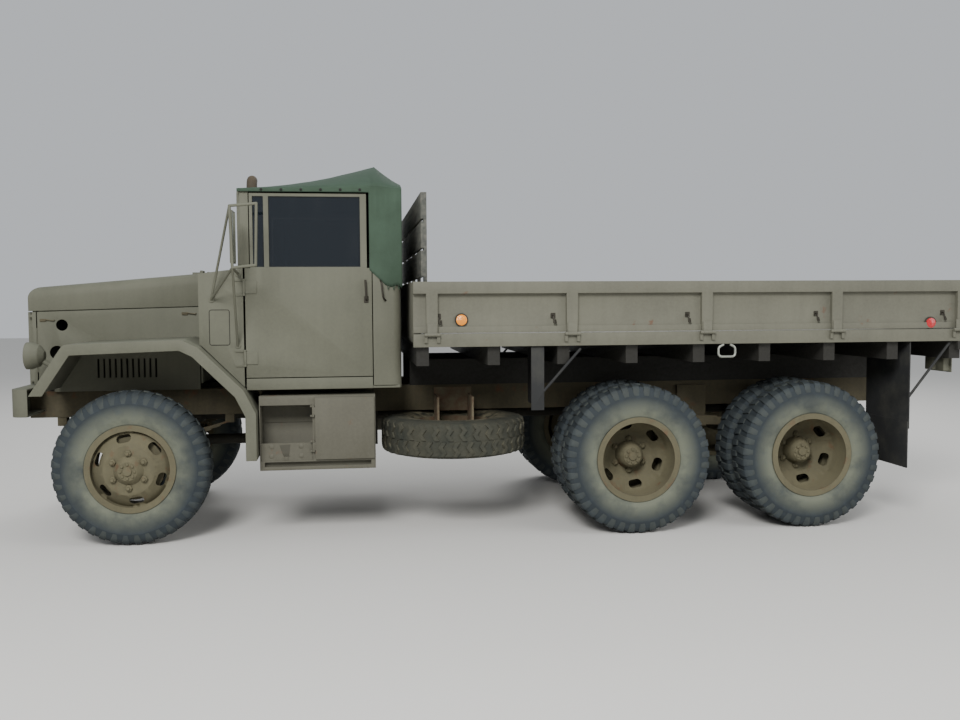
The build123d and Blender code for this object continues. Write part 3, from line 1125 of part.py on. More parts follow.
# Drop sides: sheet, top rail, bottom rail and posts, hinged along the edge rail
with BuildPart() as drop_side:
    block(BED_FRONT, BED_REAR, SIDE_INNER, SIDE_INNER + SIDE_SHEET, SIDE_BOTTOM, SIDE_TOP)
    block(BED_FRONT, BED_REAR, SIDE_INNER, SIDE_OUTER, SIDE_TOP - TOP_RAIL_HEIGHT, SIDE_TOP)
    block(BED_FRONT, BED_REAR, SIDE_INNER, SIDE_OUTER - 20, SIDE_BOTTOM, SIDE_BOTTOM + 40)
    for place in post_places:
        block(place - POST_WIDTH / 2, place + POST_WIDTH / 2, SIDE_INNER, SIDE_OUTER,
              SIDE_BOTTOM, SIDE_TOP)
    for place in post_places[:-1] + [post_places[-1] - 20]:
        with BuildSketch(cross_plane(place + SIDE_LEAF_HALF)) as leaf:
            with Locations((SIDE_HINGE_Y, SIDE_HINGE_Z)):
                Circle(SIDE_HINGE_RADIUS)
            with Locations(((SIDE_OUTER + SIDE_HINGE_Y - 4) / 2, SIDE_HINGE_Z + 35)):
                Rectangle(SIDE_HINGE_Y - 4 - SIDE_OUTER, 70)
        extrude(leaf.sketch, amount=2 * SIDE_LEAF_HALF)
        reach = 2 * SIDE_LEAF_HALF
        round_bar((behind(place - reach), SIDE_HINGE_Y, SIDE_HINGE_Z),
                  (behind(place + reach), SIDE_HINGE_Y, SIDE_HINGE_Z), HINGE_PIN + SEAT_GAP,
                  mode=Mode.SUBTRACT)
write_pair(drop_side, "drop_side")

# Tailgate: framed sheet hinged along the rear edge
GATE_FRONT = BED_REAR + RUNNING_GAP
GATE_REAR = GATE_FRONT + TAILGATE_THICK
GATE_BOTTOM = GATE_HINGE_Z + 17
with BuildPart() as tailgate:
    block(GATE_FRONT, GATE_FRONT + SIDE_SHEET, -EDGE_HALF, EDGE_HALF, GATE_BOTTOM, SIDE_TOP)
    for low, high in ((GATE_BOTTOM, GATE_BOTTOM + 60), (SIDE_TOP - TOP_RAIL_HEIGHT, SIDE_TOP)):
        block(GATE_FRONT, GATE_REAR, -EDGE_HALF, EDGE_HALF, low, high)
    for place in (-1175, -590, 0, 590, 1175):
        block(GATE_FRONT, GATE_REAR, place - POST_WIDTH / 2, place + POST_WIDTH / 2, GATE_BOTTOM, SIDE_TOP)
    for middle in GATE_HINGES:
        low, high = middle - GATE_LEAF_HALF, middle + GATE_LEAF_HALF
        block(GATE_HINGE_B - 6, GATE_HINGE_B + 6, low, high, GATE_HINGE_Z, GATE_BOTTOM + 10)
        round_bar((behind(GATE_HINGE_B), low, GATE_HINGE_Z),
                  (behind(GATE_HINGE_B), high, GATE_HINGE_Z), GATE_HINGE_RADIUS)
        round_bar((behind(GATE_HINGE_B), low - 5, GATE_HINGE_Z),
                  (behind(GATE_HINGE_B), high + 5, GATE_HINGE_Z), HINGE_PIN + SEAT_GAP,
                  mode=Mode.SUBTRACT)
write(tailgate, "tailgate")

# Splash guards ahead of the middle wheels and flaps behind the rear ones
GUARD_INNER = 640
GUARD_OUTER = 1192
GUARD_TOP = EDGE_BOTTOM - SEAT_GAP
GUARD_BEHIND = 2648
GUARD_LOW = 853
GUARD_RETURN = 82
GUARD_SHEET = 6
FLAP_BEHIND = 5200
FLAP_LOW = 670
RUBBER_LOW = 399
RUBBER_TOP = 720
STAY_Y = 1185
STAY_RADIUS = 9
STAYS = (                   # distance and height of the lower end, distance and drop of the upper
    (GUARD_BEHIND, 975, 2895, 20),
    (FLAP_BEHIND + 2, 894, 5490, 14),
)
with BuildPart() as splash_guards:
    for side in (1, -1):
        for depth, near in ((GUARD_SHEET / 2, GUARD_INNER), (GUARD_RETURN, GUARD_OUTER - GUARD_SHEET)):
            block(GUARD_BEHIND - depth, GUARD_BEHIND + GUARD_SHEET / 2, side * near, side * GUARD_OUTER,
                  GUARD_LOW, GUARD_TOP)
        for middle, low, high in ((FLAP_BEHIND, FLAP_LOW, GUARD_TOP),
                                  (FLAP_BEHIND - 8, RUBBER_LOW, RUBBER_TOP)):
            block(middle - 4, middle + 4, side * GUARD_INNER, side * GUARD_OUTER, low, high)
        for distance, height, far, drop in STAYS:
            round_bar((behind(distance), side * STAY_Y, height),
                      (behind(far), side * STAY_Y, GUARD_TOP - drop), STAY_RADIUS)
write(splash_guards, "splash_guards")

# Mirrors on three-legged brackets ahead of the doors
MIRROR_Y = 1280
MIRROR_LOOP = ((700, 1775), (690, 2150), (850, 2165), (840, 1790))
MIRROR_FEET = ((1, 531, 1585), (1, 690, 1290), (1, 700, 1748),
               (-1, 700, 1560), (-1, 690, 1290), (-1, 700, 1748))
MIRROR_WIDTH = 165
MIRROR_BEHIND = 695
MIRROR_LOW = 1805
MIRROR_HIGH = 2125
TUBE_RADIUS = 9
FOOT_RADIUS = 20
FOOT_THICK = 6
with BuildPart() as mirrors:
    for side in (1, -1):
        loop = [(behind(distance), side * MIRROR_Y, height) for distance, height in MIRROR_LOOP]
        for start, end in zip(loop, loop[1:] + loop[:1]):
            round_bar(start, end, TUBE_RADIUS)
        for corner in loop:
            with Locations(corner):
                Sphere(TUBE_RADIUS)
        feet = [foot[1:] for foot in MIRROR_FEET if foot[0] == side]
        for (distance, height), corner in zip(feet + feet[:1], (loop[0], loop[0], loop[0], loop[1])):
            start = (behind(distance), side * (CAB_HALF + FOOT_THICK + 3), height)
            round_bar(start, corner, TUBE_RADIUS - 1)
            with Locations(start):
                Sphere(TUBE_RADIUS - 1)
        for distance, height in feet:
            outer = side * (CAB_HALF + SEAT_GAP) + (FOOT_THICK if side > 0 else 0)
            with BuildSketch(side_plane(outer)) as foot:
                with Locations((behind(distance), height)):
                    Circle(FOOT_RADIUS)
            extrude(foot.sketch, amount=FOOT_THICK)
        block(MIRROR_BEHIND - TUBE_RADIUS, MIRROR_BEHIND + TUBE_RADIUS,
              side * (MIRROR_Y - MIRROR_WIDTH), side * (MIRROR_Y - 2), MIRROR_LOW, MIRROR_HIGH)
write(mirrors, "mirrors")

# Lamps: head lamps beside the grille, marker lamps on the fenders, rear lamps under the deck
LAMP_Y = 760
LAMP_Z = 1227
LAMP_FRONT = -668
LAMP_RADIUS = 88
LAMP_REAR = LAMP_FRONT + 110
fender_foot, fender_knee = [Vector(behind(distance), LAMP_Y, height) for distance, height in FENDER_PATH[:2]]
fender_normal = Vector(0, 1, 0).cross(fender_knee - fender_foot).normalized()
lamp_foot = fender_foot + (fender_knee - fender_foot) * 0.42 + fender_normal * SEAT_GAP
with BuildPart() as lamps:
    for side in (1, -1):
        foot = Vector(lamp_foot.X, side * LAMP_Y, lamp_foot.Z)
        round_bar(foot, foot + fender_normal * 150, 16)
        with BuildSketch(side_plane(side * LAMP_Y)) as half_section:
            with BuildLine():
                Polyline((behind(LAMP_FRONT), LAMP_Z), (behind(LAMP_FRONT), LAMP_Z + LAMP_RADIUS),
                         (behind(LAMP_FRONT + 30), LAMP_Z + LAMP_RADIUS),
                         (behind(LAMP_FRONT + 80), LAMP_Z + 70), (behind(LAMP_REAR), LAMP_Z + 30),
                         (behind(LAMP_REAR), LAMP_Z), close=True)
            make_face()
        revolve(half_section.sketch, axis=Axis((0, side * LAMP_Y, LAMP_Z), (1, 0, 0)))
        for place in (880, 1010):
            block(BED_REAR - 62, BED_REAR - 2, side * (place - 45), side * (place + 45), 1055, 1145)
        block(BED_REAR - 16, BED_REAR - 8, side * 820, side * 1070, 1045, EDGE_BOTTOM - 60 - SEAT_GAP)
write(lamps, "lamps")
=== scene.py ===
import json
from math import cos, pi, radians, sin, tau

import bmesh
import bpy
from mathutils import Matrix, Vector, noise


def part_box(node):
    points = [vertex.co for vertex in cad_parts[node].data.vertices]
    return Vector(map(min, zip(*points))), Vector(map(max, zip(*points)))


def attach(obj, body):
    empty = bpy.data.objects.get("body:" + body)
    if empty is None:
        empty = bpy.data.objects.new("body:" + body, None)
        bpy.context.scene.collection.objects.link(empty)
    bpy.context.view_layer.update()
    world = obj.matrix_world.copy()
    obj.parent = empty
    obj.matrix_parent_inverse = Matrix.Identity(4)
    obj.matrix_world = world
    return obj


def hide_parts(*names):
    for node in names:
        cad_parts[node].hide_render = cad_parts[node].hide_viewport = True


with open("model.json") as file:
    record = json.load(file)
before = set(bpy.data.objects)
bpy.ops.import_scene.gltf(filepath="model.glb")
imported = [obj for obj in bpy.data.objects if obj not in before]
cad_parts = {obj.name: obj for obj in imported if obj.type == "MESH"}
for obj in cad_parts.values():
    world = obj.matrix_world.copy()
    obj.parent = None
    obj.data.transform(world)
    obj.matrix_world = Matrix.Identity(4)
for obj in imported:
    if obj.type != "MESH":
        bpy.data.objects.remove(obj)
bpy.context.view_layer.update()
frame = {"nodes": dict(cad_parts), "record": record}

# The truck stands in its own frame: X forward, Y to the driver's left, Z up, the ground at zero.
# Lengthways places are given in millimetres behind the front axle, as they were measured.
axle_low, axle_high = [Vector(corner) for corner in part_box("front_tyre_left")]
FRONT_AXLE_X = (axle_low.x + axle_high.x) / 2
AXLE_Z = (axle_low.z + axle_high.z) / 2


def place(behind, y, z):
    """A point from millimetres behind the front axle, to the left and up, in metres."""
    return Vector((FRONT_AXLE_X - behind / 1000, y / 1000, z / 1000))


# Forest-green drab lacquer, sprayed over pressed steel and chalked by years of sun.  It is matt,
# a little blotchy, paler where dust lies on top faces and darker where rain has run down.
def linear(code):
    """The linear colour of an sRGB hex value."""
    parts = [int(code[start:start + 2], 16) / 255 for start in (1, 3, 5)]
    return [part / 12.92 if part <= 0.04045 else ((part + 0.055) / 1.055) ** 2.4 for part in parts] + [1]


def add(tree, kind, inputs=None, **settings):
    """One node with its settings; an input is a plain value or another node's socket."""
    made = tree.nodes.new(kind)
    for name, value in settings.items():
        setattr(made, name, value)
    for name, value in (inputs or {}).items():
        if isinstance(value, bpy.types.NodeSocket):
            tree.links.new(value, made.inputs[name])
        else:
            made.inputs[name].default_value = value
    return made


def surface(name, **sockets):
    """An empty material with its shader, whose plain sockets are set by name."""
    made = bpy.data.materials.new(name)
    made.use_nodes = True
    shader = made.node_tree.nodes["Principled BSDF"]
    for socket, value in sockets.items():
        shader.inputs[socket.replace("_", " ")].default_value = value
    return made, made.node_tree, shader


def cloud(tree, scale, detail=4.0, squeeze=(1, 1, 1)):
    """Noise on object coordinates; scale is in blotches a metre, squeeze stretches them."""
    where = add(tree, "ShaderNodeTexCoord")
    turned = add(tree, "ShaderNodeMapping", {"Vector": where.outputs["Object"], "Scale": squeeze})
    return add(tree, "ShaderNodeTexNoise", {"Vector": turned.outputs["Vector"], "Scale": scale,
                                            "Detail": detail, "Roughness": 0.6}).outputs["Fac"]


def mask(tree, value, low, high, *shares):
    """How much of a coat lies in a place: a value cut between two levels, times each share."""
    amount = add(tree, "ShaderNodeMapRange", {"Value": value, "From Min": low, "From Max": high,
                                              "To Min": 0.0, "To Max": 1.0}).outputs["Result"]
    for share in shares:
        amount = add(tree, "ShaderNodeMath", {0: amount, 1: share}, operation="MULTIPLY").outputs[0]
    return amount


def coats(tree, base, *layers):
    """A base colour with others laid over it in turn, each by an amount; all are sRGB hex."""
    colour = linear(base)
    for amount, code in layers:
        colour = add(tree, "ShaderNodeMixRGB", {"Fac": amount, "Color1": colour,
                                                "Color2": linear(code)}).outputs["Color"]
    return colour


def facing_up(tree, *shares):
    """How far a face looks up, from 0 on a wall to 1 on a deck, times each share."""
    normal = add(tree, "ShaderNodeNewGeometry").outputs["Normal"]
    up = add(tree, "ShaderNodeSeparateXYZ", {"Vector": normal}).outputs["Z"]
    return mask(tree, up, 0.35, 0.95, *shares)


def coat(tree, shader, colour, *reliefs):
    """Gives a shader its colour and its reliefs, each a strength, a depth in metres and a height."""
    tree.links.new(colour, shader.inputs["Base Color"])
    under = {}
    for strength, depth, height in reliefs:
        bump = add(tree, "ShaderNodeBump", {"Strength": strength, "Distance": depth,
                                            "Height": height, **under})
        under = {"Normal": bump.outputs["Normal"]}
        tree.links.new(bump.outputs["Normal"], shader.inputs["Normal"])


# Height in metres over which the painted shade below a level fades in.
PAINTED_SHADE_EDGE = 0.002


def lacquer(name, base, dark, dust, rust_share=0.0, dust_share=0.6, roughness=0.72, dents=0.4,
            painted_shade_below=None):
    """Sprayed lacquer on steel with dust, rain marks, some rust and painted shade below a height in
    metres.
    """
    made, tree, shader = surface(name, Roughness=roughness, Specular_IOR_Level=0.35)
    fine = mask(tree, cloud(tree, 55.0, detail=6.0), 0.35, 0.75)
    powder = add(tree, "ShaderNodeMath", {0: fine, 1: 0.22}, operation="MULTIPLY").outputs[0]
    layers = [
        (mask(tree, cloud(tree, 2.2), 0.38, 0.66, 0.5), dark),
        (mask(tree, cloud(tree, 5.0, squeeze=(3.0, 3.0, 0.25)), 0.45, 0.75, 0.35), dark),
        (powder, dust),
        (mask(tree, cloud(tree, 3.5), 0.2, 0.7, facing_up(tree), dust_share), dust),
    ]
    if rust_share:
        spots = cloud(tree, 9.0, detail=9.0)
        layers.append((mask(tree, spots, 0.70 - 0.12 * rust_share, 0.76, 0.85), "#5b3a26"))
    # Painted shade: faces below the given height are darkened nearly to black, standing for the shadow
    # under the bed.
    if painted_shade_below:
        where = add(tree, "ShaderNodeTexCoord").outputs["Object"]
        height = add(tree, "ShaderNodeSeparateXYZ", {"Vector": where}).outputs["Z"]
        layers.append((mask(tree, height, painted_shade_below, painted_shade_below - PAINTED_SHADE_EDGE), "#24231f"))
    rough = add(tree, "ShaderNodeMapRange", {"Value": fine, "To Min": roughness - 0.06,
                                             "To Max": roughness + 0.14})
    tree.links.new(rough.outputs["Result"], shader.inputs["Roughness"])
    coat(tree, shader, coats(tree, base, *layers), (dents, 0.012, cloud(tree, 2.6, detail=2.0)),
         (0.12, 0.001, fine))
    return made


cab_lacquer = lacquer("cab_lacquer", "#58584b", "#4b4b3f", "#6e7061")
BED_COLOURS = ("#5e5d50", "#4d4c42", "#76766a")
BED_RUST = 0.35
bed_lacquer = lacquer("bed_lacquer", *BED_COLOURS, rust_share=BED_RUST)


def placed_in_scene(name, data):
    """A new object with its data, linked into the scene."""
    made = bpy.data.objects.new(name, data)
    bpy.context.scene.collection.objects.link(made)
    return made


def finished(mesh, name, body, material):
    """Makes a piece from a mesh, gives it its material and lets it ride on a body."""
    piece = placed_in_scene(name, mesh)
    mesh.materials.clear()
    mesh.materials.append(material)
    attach(piece, body)
    return piece


def evaluated(piece):
    """A piece's mesh as its modifiers or bevels leave it."""
    return bpy.data.meshes.new_from_object(piece.evaluated_get(bpy.context.evaluated_depsgraph_get()))


def smoothed(piece, angle):
    """Smooth shading, but for the edges that turn by more than an angle in degrees."""
    piece.data.shade_smooth()
    piece.data.set_sharp_from_angle(angle=radians(angle))


def dressed(node, material, edge=0.002, angle=30):
    """A node's own shape with welded triangles, softened edges and smooth rounds."""
    mesh = frame["nodes"][node].data.copy()
    work = bmesh.new()
    work.from_mesh(mesh)
    bmesh.ops.remove_doubles(work, verts=work.verts, dist=1e-5)
    bmesh.ops.dissolve_limit(work, angle_limit=radians(1.0), verts=work.verts, edges=work.edges)
    work.to_mesh(mesh)
    work.free()
    piece = finished(mesh, node + "_skin", body_of[node], material)
    if edge:
        bevel = piece.modifiers.new("edge", "BEVEL")
        bevel.width = edge
        bevel.segments = 2
        bevel.limit_method = "ANGLE"
        bevel.angle_limit = radians(angle)
        bevel.use_clamp_overlap = True
        result = evaluated(piece)
        piece.modifiers.clear()
        piece.data = result
    smoothed(piece, angle)
    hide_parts(node)
    return piece


bodies = frame["record"]["behaviour"]["bodies"]
body_of = {node: body for body, nodes in bodies.items() for node in nodes}


# Chassis: two channel rails with their cross members, rear bogie, axles, springs and shafts.
# Rolled and cast steel under the same drab, now caked with road dust and thrown mud, and
# rusting in patches where stones have chipped it.
chassis_grime = lacquer("chassis_grime", "#4a4534", "#2f2b21", "#6e6650", rust_share=0.8,
                        dust_share=0.8, roughness=0.85)
for node in ("frame_rail_left", "frame_rail_right", "crossmembers", "front_axle", "rear_axles",
             "leaf_springs", "knuckle_left", "knuckle_right", "tie_rod"):
    dressed(node, chassis_grime)
engine_grime = lacquer("engine_grime", "#2b2a24", "#191814", "#4b4636", rust_share=0.5, roughness=0.8)
for node in ("engine", "driveline", "radiator"):
    dressed(node, engine_grime)


# Road tyres: military cross-ply, with square lugs that reach from near the middle over the
# shoulder and down the side.  The rubber has bleached to a blue grey, with tan dust on the side
# and paler blue-grey blotches of painted highlight.
TREAD_RADIUS = 500
TYRE_SIDE = ((88, 258), (96, 268), (104, 288), (107, 289), (116, 312), (118, 318), (121, 330),
             (124, 360), (124, 386), (122, 412), (124, 420), (121, 428), (115, 458), (106, 478),
             (98, 486))
LUGS_A_TURN = 40
LUG_PATH = ((5, 501, 480, 0, 17), (45, 501, 480, 4, 19), (85, 498, 480, 8, 21), (104, 491, 474, 10, 22),
            (116, 470, 455, 10, 20), (123, 436, 430, 9, 15))
# The front pair is worn: its shoulder is rounder and its lugs are low ribs.
WORN_SIDE = TYRE_SIDE[:-4] + ((120, 430), (113, 452), (102, 470), (82, 485), (50, 491))
WORN_PATH = ((6, 501, 490, 0, 19), (45, 499, 488, 4, 20), (80, 492, 482, 8, 21), (100, 478, 470, 10, 21),
             (114, 456, 450, 10, 17), (122, 428, 425, 9, 10))


def mesh_of(work, name):
    """A mesh from finished bmesh work, with its faces turned outwards."""
    bmesh.ops.recalc_face_normals(work, faces=work.faces)
    mesh = bpy.data.meshes.new(name)
    work.to_mesh(mesh)
    work.free()
    return mesh


def revolved(points, steps, name, shade=None):
    """A closed ring about the Y axis from (y, radius) points in millimetres."""
    work = bmesh.new()
    layer = work.verts.layers.float.new("dust")
    rows = []
    for step in range(steps):
        turn = tau * step / steps
        row = []
        for y, radius in points:
            vert = work.verts.new((radius * sin(turn) / 1000, y / 1000, radius * cos(turn) / 1000))
            vert[layer] = shade(y, radius) if shade else 0.0
            row.append(vert)
        rows.append(row)
    for row, following in zip(rows, rows[1:] + rows[:1]):
        for index in range(len(points)):
            other = (index + 1) % len(points)
            work.faces.new((row[index], row[other], following[other], following[index]))
    return mesh_of(work, name)


def block_along(stations, name, sides=(1,)):
    """Tread blocks from stations (y, outer radius, inner radius, offset, half width)."""
    work = bmesh.new()
    layer = work.verts.layers.float.new("dust")
    for side, shift in sides:
        rows = []
        for y, outer, inner, offset, half in stations:
            corners = ((offset - half, outer, 0.1), (offset + half, outer, 0.1),
                       (offset + half + 3, inner, 0.7), (offset - half - 3, inner, 0.7))
            row = []
            for across, radius, dust in corners:
                turn = across / TREAD_RADIUS + shift
                vert = work.verts.new((radius * sin(turn) / 1000, side * y / 1000,
                                       radius * cos(turn) / 1000))
                vert[layer] = dust if abs(y) < 110 else 0.2
                row.append(vert)
            rows.append(row)
        for row, following in zip(rows, rows[1:]):
            for index in range(4):
                other = (index + 1) % 4
                work.faces.new((row[index], row[other], following[other], following[index]))
        work.faces.new(rows[0])
        work.faces.new(rows[-1])
    return mesh_of(work, name)


def tree_for(name, sockets):
    """An empty Geometry Nodes tree with named inputs and one geometry output."""
    tree = bpy.data.node_groups.new(name, "GeometryNodeTree")
    for label, kind in sockets:
        tree.interface.new_socket(label, in_out="INPUT", socket_type=kind)
    tree.interface.new_socket("Geometry", in_out="OUTPUT", socket_type="NodeSocketGeometry")
    return tree, tree.nodes.new("NodeGroupInput").outputs, tree.nodes.new("NodeGroupOutput")


def copied_to(points, tree, given, out, **turned):
    """Ends a tree with the given piece copied to points, made real and given its material."""
    source = add(tree, "GeometryNodeObjectInfo", {"Object": given["Copied piece"]})
    copies = add(tree, "GeometryNodeInstanceOnPoints", {
        "Points": points.outputs[0], "Instance": source.outputs["Geometry"], **turned})
    solid = add(tree, "GeometryNodeRealizeInstances", {"Geometry": copies.outputs[0]})
    coated = add(tree, "GeometryNodeSetMaterial", {"Geometry": solid.outputs[0],
                                                   "Material": given["Material"]})
    tree.links.new(coated.outputs[0], out.inputs[0])


# One piece copied at even steps round the Y axis of its own origin.
ring_tree, given, out = tree_for("ring_of_copies", (
    ("Copied piece", "NodeSocketObject"), ("Count", "NodeSocketInt"),
    ("Material", "NodeSocketMaterial")))
points = add(ring_tree, "GeometryNodePoints", {"Count": given["Count"]})
step = add(ring_tree, "ShaderNodeMath", {0: tau, 1: given["Count"]}, operation="DIVIDE")
turn = add(ring_tree, "ShaderNodeMath", {0: add(ring_tree, "GeometryNodeInputIndex").outputs[0],
                                         1: step.outputs[0]}, operation="MULTIPLY")
angles = add(ring_tree, "ShaderNodeCombineXYZ", {"Y": turn.outputs[0]})
copied_to(points, ring_tree, given, out, Rotation=angles.outputs[0])


def grown(tree, mesh, material, name, **values):
    """A Geometry Nodes tree run on copies of a mesh, with its named inputs, as a plain mesh."""
    pattern = placed_in_scene(name + "_one", mesh)
    values.update({"Copied piece": pattern, "Material": material})
    carrier = placed_in_scene(name, bpy.data.meshes.new(name))
    modifier = carrier.modifiers.new("grow", "NODES")
    modifier.node_group = tree
    for item in tree.interface.items_tree:
        if item.in_out == "INPUT" and item.name in values:
            modifier[item.identifier] = values[item.name]
    carrier.update_tag()
    result = evaluated(carrier)
    bpy.data.objects.remove(carrier)
    bpy.data.objects.remove(pattern)
    return result


def ring(mesh, count, material, name):
    """Copies of a mesh round the Y axis, as one mesh."""
    return grown(ring_tree, mesh, material, name, Count=count)


def joined(parts, name):
    """One mesh from pairs of a mesh and the matrix that places it."""
    whole = bmesh.new()
    for mesh, matrix in parts:
        placed = mesh.copy()
        placed.transform(matrix)
        whole.from_mesh(placed)
        bpy.data.meshes.remove(placed)
    result = bpy.data.meshes.new(name)
    whole.to_mesh(result)
    whole.free()
    return result


def side_dust(y, radius):
    """Dust on a tyre: much on the side, less and less towards the shoulder."""
    return 0.95 - 0.9 * min(1.0, max(0.0, (radius - 310) / 110))


rubber, tree, shader = surface("bleached_rubber", Roughness=0.85, Specular_IOR_Level=0.25)
dust = add(tree, "ShaderNodeAttribute", attribute_name="dust").outputs["Fac"]
patches = mask(tree, cloud(tree, 5.0), 0.15, 0.55, dust)
# Painted highlights: paler blue-grey blotches laid over the rubber.
painted_highlight = mask(tree, cloud(tree, 18.0), 0.5, 0.8, 0.2)
colour = coats(tree, "#272d32", (patches, "#65685a"), (painted_highlight, "#434d55"))
coat(tree, shader, colour, (0.25, 0.002, cloud(tree, 90.0)))


def whole_tyre(side, crown, lugs, name):
    """A tyre from one side's outline, its crown radius and the path of a lug."""
    outline = list(side) + [(0, crown)] + [(-y, radius) for y, radius in reversed(side)]
    casing = revolved(outline, 96, name + "_casing", side_dust)
    lug_pair = block_along(lugs, name + "_lug_pair", sides=((1, 0.0), (-1, pi / LUGS_A_TURN)))
    tread = ring(lug_pair, LUGS_A_TURN, rubber, name + "_lugs")
    return casing, joined(((casing, Matrix()), (tread, Matrix())), name)


casing, drive_tyre = whole_tyre(TYRE_SIDE, 490, LUG_PATH, "drive_tyre")
worn_tyre = whole_tyre(WORN_SIDE, 493, WORN_PATH, "worn_tyre")[1]
TWIN_SPACING = 0.300
for wheel, twin in (("front_tyre_left", False), ("front_tyre_right", False), ("middle_tyres_left", True),
                    ("middle_tyres_right", True), ("rear_tyres_left", True), ("rear_tyres_right", True)):
    low, high = [Vector(corner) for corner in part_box(wheel)]
    centre = (low + high) / 2
    shifts = (-TWIN_SPACING / 2, TWIN_SPACING / 2) if twin else (0,)
    placed = [(drive_tyre if twin else worn_tyre,
               Matrix.Translation((centre.x, centre.y + shift, AXLE_Z))
               @ Matrix.Rotation(0.3 * index + low.x, 4, "Y")) for index, shift in enumerate(shifts)]
    tyre = finished(joined(placed, wheel + "_tread"), wheel + "_tread", body_of[wheel], rubber)
    smoothed(tyre, 35)
    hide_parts(wheel)


# Wheels: pressed steel discs in rolled rims, six ball-seat nuts and a hub with a ring of small
# bolts round its cap.  Sprayed with the truck, then dusted; brake heat and wet have rusted
# the edges of the hand holes.
wheel_lacquer = lacquer("wheel_lacquer", "#57533f", "#413d2e", "#746d55", rust_share=0.9,
                        dust_share=0.4, roughness=0.8, dents=0.1)
NUT_CIRCLE = 111
NUTS = 6
HUB_BOLTS = 8
FRONT_FACE, FRONT_HUB_FACE = 1012, 1052
REAR_FACE, REAR_HUB_FACE = 895, 1000


def hex_head(across, thick, stud=0.0):
    """A chamfered hexagon along +Y from the origin, with a stud's end if given, in millimetres."""
    work = bmesh.new()
    corner = across / 2 / cos(pi / 6)
    rings = [(corner, 0), (corner, thick * 0.75), (across * 0.42, thick)]
    if stud:
        rings += [(stud, thick), (stud, thick * 1.45)]
    rows = []
    for radius, y in rings:
        rows.append([work.verts.new((radius * cos(tau * n / 6) / 1000, y / 1000,
                                     radius * sin(tau * n / 6) / 1000)) for n in range(6)])
    for row, following in zip(rows, rows[1:]):
        for n in range(6):
            work.faces.new((row[n], row[(n + 1) % 6], following[(n + 1) % 6], following[n]))
    work.faces.new(rows[0])
    work.faces.new(rows[-1])
    return mesh_of(work, "hex_head")


def moved(mesh, offset):
    """The same mesh at an offset in millimetres."""
    mesh.transform(Matrix.Translation(Vector(offset) / 1000))
    return mesh


for node in ("front_wheel_left", "front_wheel_right", "middle_wheels_left", "middle_wheels_right",
             "rear_wheels_left", "rear_wheels_right"):
    dressed(node, wheel_lacquer, edge=0)
    low, high = [Vector(corner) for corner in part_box(node)]
    side = 1 if node.endswith("left") else -1
    face, hub_face = (REAR_FACE, REAR_HUB_FACE)
    if node.startswith("front"):
        face, hub_face = (FRONT_FACE, FRONT_HUB_FACE)
    nuts = ring(moved(hex_head(38, 22, stud=10), (0, face, NUT_CIRCLE)), NUTS, wheel_lacquer, "nuts")
    small = ring(moved(hex_head(17, 9), (0, hub_face, 45)), HUB_BOLTS, wheel_lacquer, "hub_bolts")
    cap = revolved([(hub_face, 0), (hub_face, 30), (hub_face + 10, 26), (hub_face + 12, 0)], 24,
                   "hub_cap")
    turned = Matrix.Translation(((low.x + high.x) / 2, 0, AXLE_Z)) @ Matrix.Rotation(
        0 if side > 0 else pi, 4, "Z")
    fittings = joined([(mesh, turned) for mesh in (nuts, small, cap)], node + "_nuts")
    piece = finished(fittings, node + "_nuts", body_of[node], wheel_lacquer)
    smoothed(piece, 30)


# Front end: channel bumper, bar grille, two fenders bent from one sheet each, hood and the
# louvred side panels.  All are pressed or folded sheet, sprayed in one coat with the cab.
for node in ("front_bumper", "grille", "fender_left", "fender_right", "engine_side_panels", "hood",
             "cowl", "lamps"):
    dressed(node, cab_lacquer)


def smooth_rod(points, radius, name, closed=False, bend=0.0, sides=12):
    """A round bar through points in metres, with its corners turned at a radius in millimetres."""
    path = []
    count = len(points)
    for index, point in enumerate(points):
        point = Vector(point)
        before, after = Vector(points[index - 1]), Vector(points[(index + 1) % count])
        if not bend or (not closed and index in (0, count - 1)):
            path.append(point)
            continue
        into, away = (before - point), (after - point)
        reach = min(bend / 1000, into.length / 2.1, away.length / 2.1)
        start, end = point + into.normalized() * reach, point + away.normalized() * reach
        path += [start.lerp(point, t).lerp(point.lerp(end, t), t) for t in (0, 0.25, 0.5, 0.75, 1)]
    curve = bpy.data.curves.new(name, "CURVE")
    curve.dimensions = "3D"
    curve.bevel_depth = radius / 1000
    curve.bevel_resolution = sides // 4 - 1
    curve.use_fill_caps = True
    spline = curve.splines.new("POLY")
    spline.points.add(len(path) - 1)
    for target, point in zip(spline.points, path):
        target.co = (*point, 1)
    spline.use_cyclic_u = closed
    carrier = placed_in_scene(name, curve)
    result = evaluated(carrier)
    bpy.data.objects.remove(carrier)
    result.shade_smooth()
    return result


def slab(front, rear, inner, outer, bottom, top, round_edge=2.0):
    """A plate between two distances, two widths and two heights in millimetres, edges eased."""
    work = bmesh.new()
    bmesh.ops.create_cube(work, size=1)
    low, high = place(rear, min(inner, outer), bottom), place(front, max(inner, outer), top)
    for vert in work.verts:
        vert.co = [low[axis] + (high[axis] - low[axis]) * (vert.co[axis] + 0.5) for axis in range(3)]
    if round_edge:
        bmesh.ops.bevel(work, geom=work.edges, offset=round_edge / 1000, segments=2, affect="EDGES",
                        clamp_overlap=True)
    return mesh_of(work, "slab")


def assembled(meshes, name, body, material, angle=35):
    """Several meshes as one piece."""
    piece = finished(joined([(mesh, Matrix()) for mesh in meshes], name), name, body, material)
    smoothed(piece, angle)
    return piece


